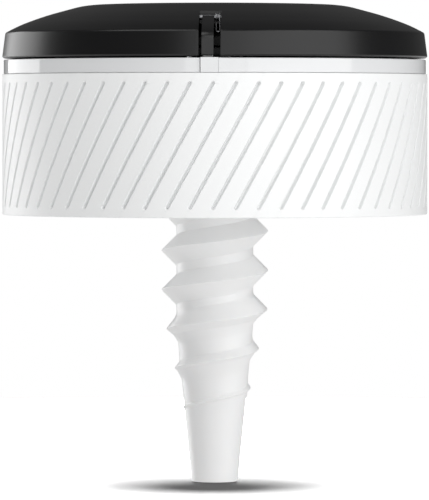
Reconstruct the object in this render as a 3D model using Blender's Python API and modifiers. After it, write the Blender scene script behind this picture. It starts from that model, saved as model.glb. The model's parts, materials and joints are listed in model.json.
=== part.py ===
"""Screw-in liquor pour spout with a metering chamber in a wide grip drum and a latched flip lid.

Z is up and z = 0 is the tip of the threaded stopper. The latch is at -Y and the lid hinge at +Y.
Lengths below are millimetres; MM turns them into metres.
"""
import math

import bmesh
import bpy
from mathutils import Matrix, Vector

MM = 0.001
COLLECTION = "liquor_pour_spout"
CUTTERS = "cutters"
FINE = 48            # facets round the wide shells
MEDIUM = 24          # facets round the inner turned parts
COARSE = 16          # facets round screws, posts and small pins
MERGE = 0.00001      # metres
GAP = 0.3            # clearance between pieces that touch

# Grip drum
DRUM_R = 42.0
DRUM_Z0 = 52.9
DRUM_Z1 = 80.3
DRUM_EDGE = 0.2
DRUM_WALL_R = 38.2       # inside wall below the deck
DRUM_RIM_R = 39.4        # inside wall beside the deck
LEDGE_Z = 77.3           # step that carries the deck
FLOOR_Z = 55.4
FLOOR_HOLE_R = 11.1
GROOVES = 60
GROOVE_Z0 = 54.4
GROOVE_Z1 = 78.7
GROOVE_END = 0.5         # height of the run-out at each end
GROOVE_DEPTH = 0.5
GROOVE_HALF_DEG = 0.7
GROOVE_TWIST_DEG = 18.6
GROOVE_TOP_DEG = 1.2     # first groove's top end, from the latch towards +X
GROOVE_STEPS = 2

# Threaded stopper
TIP_R = 4.55
TAPER_TOP_Z = 30.9
ROOT_R = 7.6
BORE_TIP_R = 3.3
BORE_TOP_R = 5.2
COLLAR_R = 10.8
COLLAR_Z0 = 53.2
FLANGE_R = 15.0
FLANGE_Z0 = 57.0
FLANGE_Z1 = 59.0
PITCH = 7.79
THREAD_Z_AT_X = 2.86     # height of the crest helix where it crosses +X
THREAD_R = 10.54
THREAD_TAPER_Z = 34.7
THREAD_SLOPE = 0.213
THREAD_START_DEG = 455.0
THREAD_END_DEG = 2465.0
THREAD_STEP_DEG = 15.0
THREAD_SINK = 0.4        # how far the ridge's foot lies inside the root
THREAD_TOP_GAP = 0.4     # the ridge ends this far below the flange's top
FLANGE_SEAL_R0 = 11.4
FLANGE_SEAL_R1 = 14.6

# Metering chamber on its base plate
BASE_R = 28.4
BASE_Z0 = 59.3
BASE_Z1 = 61.3
BASE_HOLE_R = 4.0
BASE_SCREW_PCR = 20.0
BOSS_R = 3.2
CHAMBER_R = 27.2
CHAMBER_BORE_R = 25.4
CHAMBER_Z0 = 62.3
CHAMBER_Z1 = 76.6
CAGE_Z0 = 62.5
CAGE_BASE_Z = 64.0
CAGE_TOP_Z = 75.0
BALL_R = 4.5
BALL_Z = 66.95
CHAMBER_SEAL_R0 = 25.6
CHAMBER_SEAL_R1 = 27.0
SEAL_GAP = 0.1
STRAINER_R = 8.0
STRAINER_TOP = 0.9       # over the base plate
STRAINER_HOLE_R = 0.9
STRAINER_HOLE_PCR = 2.5
CAGE_SEAT_R = 9.8
CAGE_BORE_R = 3.6
CAGE_TOP_R = 7.2
CAGE_POST_R = 0.8
CAGE_POST_PCR = 6.0
CAGE_RING = 1.0          # height of the cage's top ring

# Deck, band and pour nozzle
DECK_R = 39.1
DECK_Z0 = 77.6
DECK_Z1 = 79.6
DECK_HOLE_R = 4.3
POST_PCR = 31.5
POST_R = 2.8
BAND_R = 41.7
BAND_Z0 = 80.6
BAND_Z1 = 83.4
NOZZLE_BORE_R = 4.2
NOZZLE_FLANGE_R = 11.5
NOZZLE_TOP_Z = 86.0
NOZZLE_SCREW_PCR = 8.7
NOZZLE_TUBE_R = 5.6
NOZZLE_LIP_R = 6.6
NOZZLE_ROOT_R = 6.2
NOZZLE_FLANGE = 1.4      # height of the flange
NOZZLE_SEAT_GAP = 1.2    # between the deck and the flange, filled by the gasket
NOZZLE_SEAL_R0 = 4.6
NOZZLE_SEAL_R1 = 11.2
BAND_STEP_R = 39.0
BAND_FOOT_R = 37.4
BAND_INNER_R = 34.6
BAND_STEP = 1.0
BRACKET_GAP_HALF = 14.6
BRACKET_GAP_Y = 30.0

# Screws: hole, head and shank radii, and head heights
SCREW_SINK = 0.05        # clearance under a head
SOCKET_SHARE = 0.45      # socket radius over head radius
LARGE_HOLE_R = 1.3
LARGE_CLEAR_R = 1.5
LARGE_SHANK_R = 1.0
LARGE_HEAD_R = 2.3
LARGE_HEAD = 1.3
BASE_CLEAR_R = 1.4
BASE_HEAD = 1.2
SMALL_HOLE_R = 1.0
SMALL_CLEAR_R = 1.1
SMALL_SHANK_R = 0.8
SMALL_HEAD_R = 1.6
SMALL_HEAD = 0.9
BRACKET_HEAD_R = 1.7
BRACKET_COUNTERBORE_R = 2.0
LINER_HOLE_R = 1.2
LINER_SHANK_R = 0.9
LINER_HEAD_R = 1.8

# Breather, behind the nozzle
BREATHER_Y = 17.0
BREATHER_BALL_R = 1.3
BREATHER_BALL_Z = 81.8
BREATHER_TUBE_R0 = 0.8
BREATHER_TUBE_R1 = 1.4
BREATHER_HOLE_R = 1.7

# Lid
LID_Z0 = 83.7
LID_Z1 = 94.2
LID_SHOULDER_R = 41.4
LID_SHOULDER_Z = 88.7
LID_FLAT_R = 25.5
LID_SLOPE = ((33.5, 92.05), (38.5, 90.2))    # bends between the flat top and the shoulder
LID_ROOF = 2.2
LID_BORE_R = 39.8
LINER_Z0 = 88.0
LINER_Z1 = 89.5
LINER_SCREW_PCR = 20.0
LINER_BORE_R = 2.4
LINER_FLAT_R = 24.4
LINER_R = 36.8
LINER_BOSS_R = 2.6
LID_SEAL_R0 = 34.9
LID_SEAL_R1 = 36.6
LID_SEAL_Z1 = 85.4
PLUG_STEM_R = 2.1
PLUG_HEAD_R = 3.2
PLUG_FLANGE_R = 6.2
PLUG_R = 3.85
PLUG_TIP_R = 3.5
PLUG_Z0 = 84.0
PLUG_Z1 = 90.8

# Rear hinge
HINGE_Y = 39.2
HINGE_Z = 85.6
KNUCKLE_R = 1.7
HINGE_PIN_R = 0.7
HINGE_HOLE_R = 0.8
BARREL_HALF = 5.4
HINGE_HALF = 8.4
NOTCH_HALF = 8.7
NOTCH_Y = 36.9
NOTCH_Z = 87.9
BRACKET_HALF = 14.3
BRACKET_Y = 36.2
BRACKET_Z1 = 82.3
BRACKET_FOOT_HALF = 13.3
BRACKET_FOOT_Y = 33.6
BRACKET_FOOT = 1.4
BRACKET_SCREWS = ((-11.0, 35.8), (11.0, 35.8))
EAR_GAP = 0.4            # between the lid's barrel and each ear

# Front latch
SLOT_HALF = 2.1
SLOT_INNER_R = 32.0
LEVER_X = -0.38
LEVER_WIDTH = 2.3
LATCH_PIN_Y = -33.6
LATCH_PIN_Z = 91.2
LATCH_PIN_R = 0.5
LATCH_HOLE_R = 0.58
KEEPER_WIDTH = 3.4
KEEPER_POST_HALF = 1.0
KEEPER_POST_Z = 86.0
ARM_DROP = 0.38          # the arm lies this far below the lid's slope
ARM_THICK = 1.3
LEVER_BEND = (40.06, 87.25)
LEVER_BEND_R = 1.5
LEVER_FOOT_Z = 83.8
EYE_R = 1.25
EYE_BORE_R = 0.6
SPRING_R = 0.73
SPRING_WIRE_R = 0.13
SPRING_TURNS = 2.2
SPRING_STEPS = 26
SPRING_X0 = 1.05
SPRING_X1 = 1.75
SPRING_END_DEG = 68.0
SPRING_LEG = (           # the leg's bends from the pin: across, then in front, then up
    (1.8, -0.95, -0.7), (1.8, -1.0, -2.55), (1.62, -1.0, -2.8), (1.3, -1.0, -2.8), (1.12, -1.0, -2.55),
    (1.12, -0.98, -1.1))


def start_clean():
    """Empties the scene and makes the collections for parts and cutters."""
    for item in list(bpy.data.objects):
        bpy.data.objects.remove(item, do_unlink=True)
    for name in (COLLECTION, CUTTERS):
        group = bpy.data.collections.new(name)
        bpy.context.scene.collection.children.link(group)


def add_object(name, data, at=(0, 0, 0), parent=None, material=None, group=COLLECTION):
    """Puts a mesh or curve in the scene at a place given in millimetres."""
    item = bpy.data.objects.new(name, data)
    bpy.data.collections[group].objects.link(item)
    place = Vector(at) * MM
    if parent is not None:
        item.parent = parent
        place -= Vector(parent["place"])
    item.location = place
    if material is not None:
        data.materials.append(material)
    return item


def add_axis(name, at, parent=None):
    """Adds an empty on a joint's axis, for the moving pieces to hang on."""
    axis = bpy.data.objects.new(name, None)
    bpy.data.collections[COLLECTION].objects.link(axis)
    axis.empty_display_size = 5 * MM
    place = Vector(at) * MM
    axis["place"] = list(place)
    if parent is not None:
        axis.parent = parent
        place = place - Vector(parent["place"])
    axis.location = place
    return axis


def finish(name, color, roughness, metallic=0.0, alpha=1.0):
    """Makes a plain Principled material."""
    material = bpy.data.materials.new(name)
    material.use_nodes = True
    shader = material.node_tree.nodes["Principled BSDF"]
    shader.inputs["Base Color"].default_value = (*color, 1.0)
    shader.inputs["Roughness"].default_value = roughness
    shader.inputs["Metallic"].default_value = metallic
    shader.inputs["Alpha"].default_value = alpha
    return material


def white_plastic(name, roughness=0.35):
    return finish(name, (0.86, 0.87, 0.88), roughness)


def black_plastic(name, roughness=0.4):
    return finish(name, (0.012, 0.012, 0.013), roughness)


def steel(name, roughness=0.25):
    return finish(name, (0.62, 0.62, 0.64), roughness, metallic=1.0)


def rubber(name):
    return finish(name, (0.03, 0.03, 0.032), 0.6)


def smooth(item, angle_deg=35.0):
    item.data.shade_smooth()
    item.data.set_sharp_from_angle(angle=math.radians(angle_deg))


def turned(name, profile, material, at=(0, 0), parent=None, segments=FINE, group=COLLECTION):
    """Turns a profile of (radius, height) points about a vertical axis.

    The points run down the outside and back up the inside. A profile that starts and ends on
    the axis stays open there; any other is closed into a ring.
    """
    base = min(z for r, z in profile)
    mesh = bpy.data.meshes.new(name)
    verts = [(r * MM, 0.0, (z - base) * MM) for r, z in profile]
    edges = [(i, i + 1) for i in range(len(verts) - 1)]
    if profile[0][0] > 0:
        edges.append((len(verts) - 1, 0))
    mesh.from_pydata(verts, edges, [])
    item = add_object(name, mesh, (at[0], at[1], base), parent, material, group)
    screw = item.modifiers.new("turn", "SCREW")
    screw.steps = segments
    screw.render_steps = segments
    screw.use_merge_vertices = True
    screw.merge_threshold = MERGE
    screw.use_smooth_shade = False
    return item


def ring(name, inner, outer, z0, z1, material, **options):
    profile = [(outer, z1), (outer, z0), (inner, z0), (inner, z1)]
    return turned(name, profile, material, **options)


def cylinders(name, spots, radius, z0, z1, group=CUTTERS, segments=COARSE):
    """Makes one mesh of equal upright cylinders at (x, y) spots."""
    shape = bmesh.new()
    for x, y in spots:
        middle = Matrix.Translation(Vector((x, y, (z0 + z1) / 2)) * MM)
        bmesh.ops.create_cone(
            shape, cap_ends=True, segments=segments, radius1=radius * MM, radius2=radius * MM,
            depth=(z1 - z0) * MM, matrix=middle)
    mesh = bpy.data.meshes.new(name)
    shape.to_mesh(mesh)
    shape.free()
    return add_object(name, mesh, group=group)


def cross_cylinder(name, radius, half_length, y, z, x=0.0, segments=COARSE,
                   group=CUTTERS, parent=None, material=None):
    """Makes a cylinder that lies along X, with its origin on its own axis."""
    shape = bmesh.new()
    turn = Matrix.Rotation(math.radians(90), 4, "Y")
    bmesh.ops.create_cone(
        shape, cap_ends=True, segments=segments, radius1=radius * MM, radius2=radius * MM,
        depth=2 * half_length * MM, matrix=turn)
    mesh = bpy.data.meshes.new(name)
    shape.to_mesh(mesh)
    shape.free()
    return add_object(name, mesh, (x, y, z), parent, material, group)


def block(name, low, high, group=CUTTERS, material=None):
    """Makes a box between two corners."""
    shape = bmesh.new()
    size = Vector(high) - Vector(low)
    bmesh.ops.create_cube(shape, size=1.0, matrix=Matrix.Diagonal((*(size * MM), 1.0)))
    mesh = bpy.data.meshes.new(name)
    shape.to_mesh(mesh)
    shape.free()
    middle = (Vector(high) + Vector(low)) / 2
    return add_object(name, mesh, middle, group=group, material=material)


def boolean(item, tool, operation):
    """Cuts or joins with a tool object, which is kept as a hidden wire shape."""
    change = item.modifiers.new(tool.name, "BOOLEAN")
    change.operation = operation
    change.solver = "EXACT"
    change.object = tool
    tool.hide_render = True
    tool.display_type = "WIRE"


def cut(item, tool):
    boolean(item, tool, "DIFFERENCE")


def join(item, tool):
    boolean(item, tool, "UNION")


def on_circle(count, radius, start_deg=0.0):
    angles = [math.radians(start_deg + 360.0 * i / count) for i in range(count)]
    return [(radius * math.cos(a), radius * math.sin(a)) for a in angles]


def screw_fastener(name, spot, seat_z, end_z, shank_r, head_r, head_h, material, parent=None):
    """Makes a pan-head screw pointing down, its head resting on seat_z, with a hex socket."""
    top = seat_z + head_h
    profile = [
        (0, top), (head_r * 0.7, top), (head_r, top - head_h * 0.45), (head_r, seat_z),
        (shank_r, seat_z), (shank_r, end_z + shank_r), (0, end_z)]
    item = turned(name, profile, material, at=spot, parent=parent, segments=12)
    socket = cylinders(f"{name}_socket", [spot], head_r * SOCKET_SHARE, top - head_h * 0.6, top + 1,
                       segments=6)
    cut(item, socket)
    return item


def upward_screw(name, spot, seat_z, end_z, shank_r, head_r, head_h, material, parent=None):
    """Makes the same screw driven from below, its head under seat_z."""
    low = seat_z - head_h
    profile = [
        (0, end_z), (shank_r, end_z - shank_r), (shank_r, seat_z), (head_r, seat_z),
        (head_r, low + head_h * 0.45), (head_r * 0.7, low), (0, low)]
    item = turned(name, profile, material, at=spot, parent=parent, segments=12)
    socket = cylinders(f"{name}_socket", [spot], head_r * SOCKET_SHARE, low - 1, low + head_h * 0.6,
                       segments=6)
    cut(item, socket)
    return item


def flat_piece(name, outline, width, x, material=None, group=COLLECTION, parent=None):
    """Extrudes an outline of (distance in front of the axis, height) points along X.

    The first point is the object's origin.
    """
    origin = outline[0]
    curve = bpy.data.curves.new(name, "CURVE")
    curve.dimensions = "2D"
    curve.fill_mode = "BOTH"
    curve.extrude = width / 2 * MM
    spline = curve.splines.new("POLY")
    spline.points.add(len(outline) - 1)
    for point, (u, z) in zip(spline.points, outline):
        point.co = (-(u - origin[0]) * MM, (z - origin[1]) * MM, 0, 1)
    spline.use_cyclic_u = True
    flat = bpy.data.objects.new(f"{name}_outline", curve)
    bpy.context.scene.collection.objects.link(flat)
    bpy.context.view_layer.update()
    mesh = bpy.data.meshes.new_from_object(flat.evaluated_get(bpy.context.evaluated_depsgraph_get()))
    bpy.data.objects.remove(flat, do_unlink=True)
    shape = bmesh.new()
    shape.from_mesh(mesh)
    bmesh.ops.remove_doubles(shape, verts=shape.verts, dist=MERGE)
    # the outline's own plane is turned upright, so that it lies in Y and Z
    upright = Matrix(((0, 0, 1, 0), (1, 0, 0, 0), (0, 1, 0, 0), (0, 0, 0, 1)))
    bmesh.ops.transform(shape, matrix=upright, verts=shape.verts)
    bmesh.ops.recalc_face_normals(shape, faces=shape.faces)
    mesh.name = name
    shape.to_mesh(mesh)
    shape.free()
    return add_object(name, mesh, (x, -origin[0], origin[1]), parent, material, group)


def arc(u, z, radius, start_deg, end_deg, steps):
    """Points on an arc in the plane of distance in front of the axis and height."""
    points = []
    for i in range(steps + 1):
        angle = math.radians(start_deg + (end_deg - start_deg) * i / steps)
        points.append((u + radius * math.cos(angle), z + radius * math.sin(angle)))
    return points


# ---------------------------------------------------------------- stopper

def root_radius(z):
    slope = (ROOT_R - TIP_R) / TAPER_TOP_Z
    return min(ROOT_R, TIP_R + slope * z)


def crest_radius(z):
    return min(THREAD_R, THREAD_R - THREAD_SLOPE * (THREAD_TAPER_Z - z))


def thread_ridge():
    """Lofts the sharp V ridge along its helix; its height runs out where the cones meet."""
    shape = bmesh.new()
    sections = []
    turns = int((THREAD_END_DEG - THREAD_START_DEG) / THREAD_STEP_DEG)
    for i in range(turns + 1):
        degrees = THREAD_START_DEG + i * THREAD_STEP_DEG
        angle = math.radians(degrees)
        z = THREAD_Z_AT_X + PITCH * degrees / 360
        foot = root_radius(z) - THREAD_SINK
        half = max(crest_radius(z) - foot, 0.05)
        points = [(foot, z - half), (foot + half, z), (foot, min(z + half, FLANGE_Z1 - THREAD_TOP_GAP))]
        sections.append([
            shape.verts.new(Vector((r * math.cos(angle), r * math.sin(angle), h)) * MM)
            for r, h in points])
    for low, high in zip(sections, sections[1:]):
        for k in range(3):
            shape.faces.new((low[k], low[(k + 1) % 3], high[(k + 1) % 3], high[k]))
    shape.faces.new(sections[0])
    shape.faces.new(sections[-1])
    bmesh.ops.recalc_face_normals(shape, faces=shape.faces)
    mesh = bpy.data.meshes.new("thread_ridge")
    shape.to_mesh(mesh)
    shape.free()
    return add_object("thread_ridge", mesh, group=CUTTERS)


def make_stopper():
    profile = [
        (FLANGE_R, FLANGE_Z1), (FLANGE_R, FLANGE_Z0), (COLLAR_R, FLANGE_Z0),
        (COLLAR_R, COLLAR_Z0), (ROOT_R, COLLAR_Z0), (ROOT_R, TAPER_TOP_Z), (TIP_R, 0),
        (BORE_TIP_R, 0), (BORE_TOP_R, FLANGE_Z1)]
    stopper = turned("screw_stopper", profile, white_plastic("stopper_polypropylene", 0.3),
                     segments=MEDIUM)
    join(stopper, thread_ridge())
    ring("stopper_gasket", FLANGE_SEAL_R0, FLANGE_SEAL_R1, FLOOR_Z + GAP, FLANGE_Z0 - GAP,
         rubber("stopper_gasket_rubber"),
         segments=MEDIUM)


# ---------------------------------------------------------------- drum

def grooved_wall():
    """Lofts the drum's outer wall, with columns that follow the slant of the grooves."""
    heights = [DRUM_Z0, DRUM_Z0 + DRUM_EDGE, GROOVE_Z0]
    low = GROOVE_Z0 + GROOVE_END
    high = GROOVE_Z1 - GROOVE_END
    heights += [low + (high - low) * i / GROOVE_STEPS for i in range(GROOVE_STEPS + 1)]
    heights += [GROOVE_Z1, DRUM_Z1]
    shape = bmesh.new()
    rows = []
    for z in heights:
        lean = (min(max(z, GROOVE_Z0), GROOVE_Z1) - GROOVE_Z1) / (GROOVE_Z1 - GROOVE_Z0)
        start = -90.0 + GROOVE_TOP_DEG + GROOVE_TWIST_DEG * lean
        depth = GROOVE_DEPTH if low - 0.01 < z < high + 0.01 else 0.0
        wall = DRUM_R - (DRUM_EDGE if z == DRUM_Z0 else 0.0)
        row = []
        for i in range(GROOVES):
            middle = start + 360.0 * i / GROOVES
            columns = [(-GROOVE_HALF_DEG, 0), (0, depth), (GROOVE_HALF_DEG, 0)]
            for offset, inset in columns:
                angle = math.radians(middle + offset)
                r = (wall - inset) * MM
                row.append(shape.verts.new((r * math.cos(angle), r * math.sin(angle), z * MM)))
        rows.append(row)
    for low_row, high_row in zip(rows, rows[1:]):
        count = len(low_row)
        for k in range(count):
            n = (k + 1) % count
            shape.faces.new((low_row[k], low_row[n], high_row[n], high_row[k]))
    shape.faces.new(list(reversed(rows[0])))
    shape.faces.new(rows[-1])
    mesh = bpy.data.meshes.new("grip_drum")
    shape.to_mesh(mesh)
    shape.free()
    return mesh


def make_drum():
    drum = add_object("grip_drum", grooved_wall(), material=white_plastic("drum_abs", 0.38))
    hollow = [
        (0, DRUM_Z1 + 1), (DRUM_RIM_R, DRUM_Z1 + 1), (DRUM_RIM_R, LEDGE_Z), (DRUM_WALL_R, LEDGE_Z),
        (DRUM_WALL_R, FLOOR_Z), (FLOOR_HOLE_R, FLOOR_Z), (FLOOR_HOLE_R, DRUM_Z0 - 1), (0, DRUM_Z0 - 1)]
    cut(drum, turned("drum_hollow", hollow, None, group=CUTTERS, segments=FINE))
    bosses = on_circle(4, BASE_SCREW_PCR, 45)
    posts = on_circle(4, POST_PCR, 45)
    join(drum, cylinders("base_bosses", bosses, BOSS_R, FLOOR_Z - 1, BASE_Z0 - GAP, segments=16))
    join(drum, cylinders("deck_posts", posts, POST_R, FLOOR_Z - 1, LEDGE_Z, segments=16))
    cut(drum, cylinders("boss_holes", bosses, LARGE_HOLE_R, FLOOR_Z - 1.5, BASE_Z0 + 1, segments=12))
    cut(drum, cylinders("post_holes", posts, LARGE_HOLE_R, LEDGE_Z - 9, LEDGE_Z + 1, segments=12))


# ---------------------------------------------------------------- metering chamber

def make_chamber():
    base = ring("chamber_base", BASE_HOLE_R, BASE_R, BASE_Z0, BASE_Z1, white_plastic("base_acetal"),
                segments=MEDIUM)
    spots = on_circle(4, BASE_SCREW_PCR, 45)
    cut(base, cylinders("base_screw_holes", spots, BASE_CLEAR_R, BASE_Z0 - 1, BASE_Z1 + 1, segments=12))
    for i, spot in enumerate(spots, 1):
        screw_fastener(f"base_screw_{i}", spot, BASE_Z1 + SCREW_SINK, FLOOR_Z + 0.2, LARGE_SHANK_R,
                       LARGE_HEAD_R, BASE_HEAD,
                       steel(f"base_screw_steel_{i}"))
    ring("chamber_seal_lower", CHAMBER_SEAL_R0, CHAMBER_SEAL_R1, BASE_Z1 + SEAL_GAP, CHAMBER_Z0 - SEAL_GAP,
         rubber("lower_seal_rubber"), segments=MEDIUM)
    ring("chamber_seal_upper", CHAMBER_SEAL_R0, CHAMBER_SEAL_R1, CHAMBER_Z1 + SEAL_GAP, DECK_Z0 - SEAL_GAP,
         rubber("upper_seal_rubber"), segments=MEDIUM)
    clear = finish("chamber_copolyester", (0.8, 0.86, 0.88), 0.12, alpha=0.4)
    ring("metering_chamber", CHAMBER_BORE_R, CHAMBER_R, CHAMBER_Z0, CHAMBER_Z1, clear, segments=MEDIUM)
    make_strainer()
    make_cage()
    ball = bpy.data.meshes.new("metering_ball")
    shape = bmesh.new()
    bmesh.ops.create_uvsphere(shape, u_segments=20, v_segments=10, radius=BALL_R * MM)
    shape.to_mesh(ball)
    shape.free()
    smooth(add_object("metering_ball", ball, (0, 0, BALL_Z), material=steel("ball_steel", 0.1)), 180)


def make_strainer():
    """A thin disc over the inlet, with a centre hole and a ring of six."""
    top = BASE_Z1 + STRAINER_TOP
    disc = [(0, top), (STRAINER_R, top), (STRAINER_R, BASE_Z1 + GAP), (0, BASE_Z1 + GAP)]
    strainer = turned("strainer_screen", disc, steel("strainer_steel", 0.35), segments=COARSE)
    holes = [(0.0, 0.0)] + on_circle(6, STRAINER_HOLE_PCR)
    cut(strainer, cylinders("strainer_holes", holes, STRAINER_HOLE_R, BASE_Z1 - 1, BASE_Z1 + 2, segments=8))


def make_cage():
    """Seat ring, top ring and three posts that guide the metering ball."""
    seat = [(CAGE_SEAT_R, CAGE_BASE_Z), (CAGE_SEAT_R, CAGE_Z0), (CAGE_BORE_R, CAGE_Z0),
            (CAGE_BORE_R, CAGE_BASE_Z)]
    cage = turned("ball_cage", seat, white_plastic("cage_acetal"), segments=24)
    rim = CAGE_TOP_Z + CAGE_RING
    top = [(CAGE_TOP_R, rim), (CAGE_TOP_R, CAGE_TOP_Z), (CAGE_BORE_R, CAGE_TOP_Z), (CAGE_BORE_R, rim)]
    join(cage, cylinders("cage_posts", on_circle(3, CAGE_POST_PCR, 30), CAGE_POST_R, CAGE_BASE_Z - 0.5,
                         CAGE_TOP_Z + 0.5, segments=8))
    join(cage, turned("cage_top", top, None, group=CUTTERS, segments=24))


# ---------------------------------------------------------------- deck, nozzle and breather

def make_deck():
    deck = ring("deck_plate", DECK_HOLE_R, DECK_R, DECK_Z0, DECK_Z1, white_plastic("deck_abs"))
    posts = on_circle(4, POST_PCR, 45)
    feet = on_circle(3, NOZZLE_SCREW_PCR, 90)
    cut(deck, cylinders("deck_screw_holes", posts, LARGE_CLEAR_R, DECK_Z0 - 1, DECK_Z1 + 1, segments=12))
    cut(deck, cylinders("nozzle_screw_holes", feet, SMALL_HOLE_R, DECK_Z0 - 1, DECK_Z1 + 1, segments=12))
    cut(deck, cylinders("bracket_screw_holes", BRACKET_SCREWS, SMALL_HOLE_R, DECK_Z0 - 1, DECK_Z1 + 1,
                        segments=12))
    cut(deck, cylinders("breather_hole", [(0, BREATHER_Y)], BREATHER_HOLE_R, DECK_Z0 - 1, DECK_Z1 + 1,
                        segments=16))
    for i, spot in enumerate(posts, 1):
        screw_fastener(f"deck_screw_{i}", spot, DECK_Z1 + SCREW_SINK, LEDGE_Z - 8, LARGE_SHANK_R,
                       LARGE_HEAD_R, LARGE_HEAD,
                       steel(f"deck_screw_steel_{i}"))


def make_nozzle():
    seat = DECK_Z1 + NOZZLE_SEAT_GAP
    flange = seat + NOZZLE_FLANGE
    ring("nozzle_gasket", NOZZLE_SEAL_R0, NOZZLE_SEAL_R1, DECK_Z1 + GAP, seat - GAP,
         rubber("nozzle_gasket_rubber"), segments=MEDIUM)
    profile = [
        (NOZZLE_ROOT_R, NOZZLE_TOP_Z), (NOZZLE_LIP_R, NOZZLE_TOP_Z - 0.4),
        (NOZZLE_ROOT_R, NOZZLE_TOP_Z - 0.9), (NOZZLE_TUBE_R, NOZZLE_TOP_Z - 1.4),
        (NOZZLE_TUBE_R, flange + 0.6), (NOZZLE_ROOT_R, flange), (NOZZLE_FLANGE_R - 0.4, flange),
        (NOZZLE_FLANGE_R, flange - 0.4), (NOZZLE_FLANGE_R, seat), (NOZZLE_BORE_R, seat),
        (NOZZLE_BORE_R, NOZZLE_TOP_Z - 0.4), (NOZZLE_BORE_R + 0.4, NOZZLE_TOP_Z)]
    nozzle = turned("pour_nozzle", profile, steel("nozzle_steel", 0.2), segments=MEDIUM)
    feet = on_circle(3, NOZZLE_SCREW_PCR, 90)
    cut(nozzle, cylinders("flange_holes", feet, SMALL_CLEAR_R, seat - 1, seat + 2, segments=12))
    cut(bpy.data.objects["nozzle_gasket"],
        cylinders("gasket_holes", feet, SMALL_CLEAR_R, DECK_Z1, seat, segments=12))
    for i, spot in enumerate(feet, 1):
        screw_fastener(f"nozzle_screw_{i}", spot, flange + SCREW_SINK, DECK_Z0 + 0.3, SMALL_SHANK_R,
                       SMALL_HEAD_R, SMALL_HEAD,
                       steel(f"nozzle_screw_steel_{i}"))


def make_breather():
    """Air return: a thin tube, a valve housing on the deck and its check ball."""
    spot = (0, BREATHER_Y)
    ring("breather_tube", BREATHER_TUBE_R0, BREATHER_TUBE_R1, CHAMBER_Z0 + 1.0, DECK_Z1 - 0.2,
         steel("breather_tube_steel"), at=spot, segments=16)
    foot = DECK_Z1 + GAP
    profile = [
        (2.2, foot + 4.8), (2.9, foot + 4.1), (2.9, foot + 0.9), (3.8, foot + 0.9), (3.8, foot),
        (0.9, foot), (0.9, foot + 0.8), (1.7, foot + 1.6), (1.7, foot + 3.9), (0.8, foot + 4.8)]
    turned("breather_housing", profile, white_plastic("breather_acetal"), at=spot, segments=20)
    ball = bpy.data.meshes.new("breather_ball")
    shape = bmesh.new()
    bmesh.ops.create_uvsphere(shape, u_segments=12, v_segments=8, radius=BREATHER_BALL_R * MM)
    shape.to_mesh(ball)
    shape.free()
    smooth(add_object("breather_ball", ball, (0, BREATHER_Y, BREATHER_BALL_Z),
                      material=steel("breather_ball_steel", 0.1)), 180)


# ---------------------------------------------------------------- band, keeper and hinge bracket

def make_band():
    profile = [
        (BAND_R, BAND_Z1), (BAND_R, BAND_Z0), (BAND_STEP_R, BAND_Z0), (BAND_STEP_R, DECK_Z1 + GAP),
        (BAND_FOOT_R, DECK_Z1 + GAP), (BAND_FOOT_R, BAND_Z0 + BAND_STEP),
        (BAND_INNER_R, BAND_Z0 + BAND_STEP), (BAND_INNER_R, BAND_Z1)]
    band = turned("collar_ring", profile, white_plastic("band_abs_gloss", 0.08))
    keeper_room = KEEPER_WIDTH / 2 + GAP
    cut(band, block("keeper_notch", (-keeper_room, -44, DECK_Z1 - 1), (keeper_room, -36.5, 85)))
    cut(band, block("bracket_gap", (-BRACKET_GAP_HALF, BRACKET_GAP_Y, DECK_Z1 - 1),
                    (BRACKET_GAP_HALF, 44, 85)))


def make_keeper():
    """Strike that bridges the band, with a low post the latch's foot closes against."""
    foot = DECK_Z1 + GAP
    outline = [
        (36.8, foot + 1.0), (BAND_STEP_R, foot), (BAND_STEP_R, DRUM_Z1 + GAP), (DRUM_R, DRUM_Z1 + GAP),
        (DRUM_R, BAND_Z1 + 0.05), (38.7, BAND_Z1 + 0.05), (38.7, KEEPER_POST_Z - 0.6),
        (38.3, KEEPER_POST_Z), (37.5, KEEPER_POST_Z), (37.3, KEEPER_POST_Z - 0.4),
        (37.3, BAND_Z1), (36.8, BAND_Z1)]
    keeper = flat_piece("keeper_tab", outline, KEEPER_WIDTH, 0.0, white_plastic("keeper_abs", 0.3))
    post = (LEVER_X - KEEPER_POST_HALF, LEVER_X + KEEPER_POST_HALF)
    for low, high in ((-KEEPER_WIDTH, post[0]), (post[1], KEEPER_WIDTH)):
        cut(keeper, block("keeper_post_side", (low, -38.8, BAND_Z1 + 0.05),
                          (high, -37.0, KEEPER_POST_Z + 1)))


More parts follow.
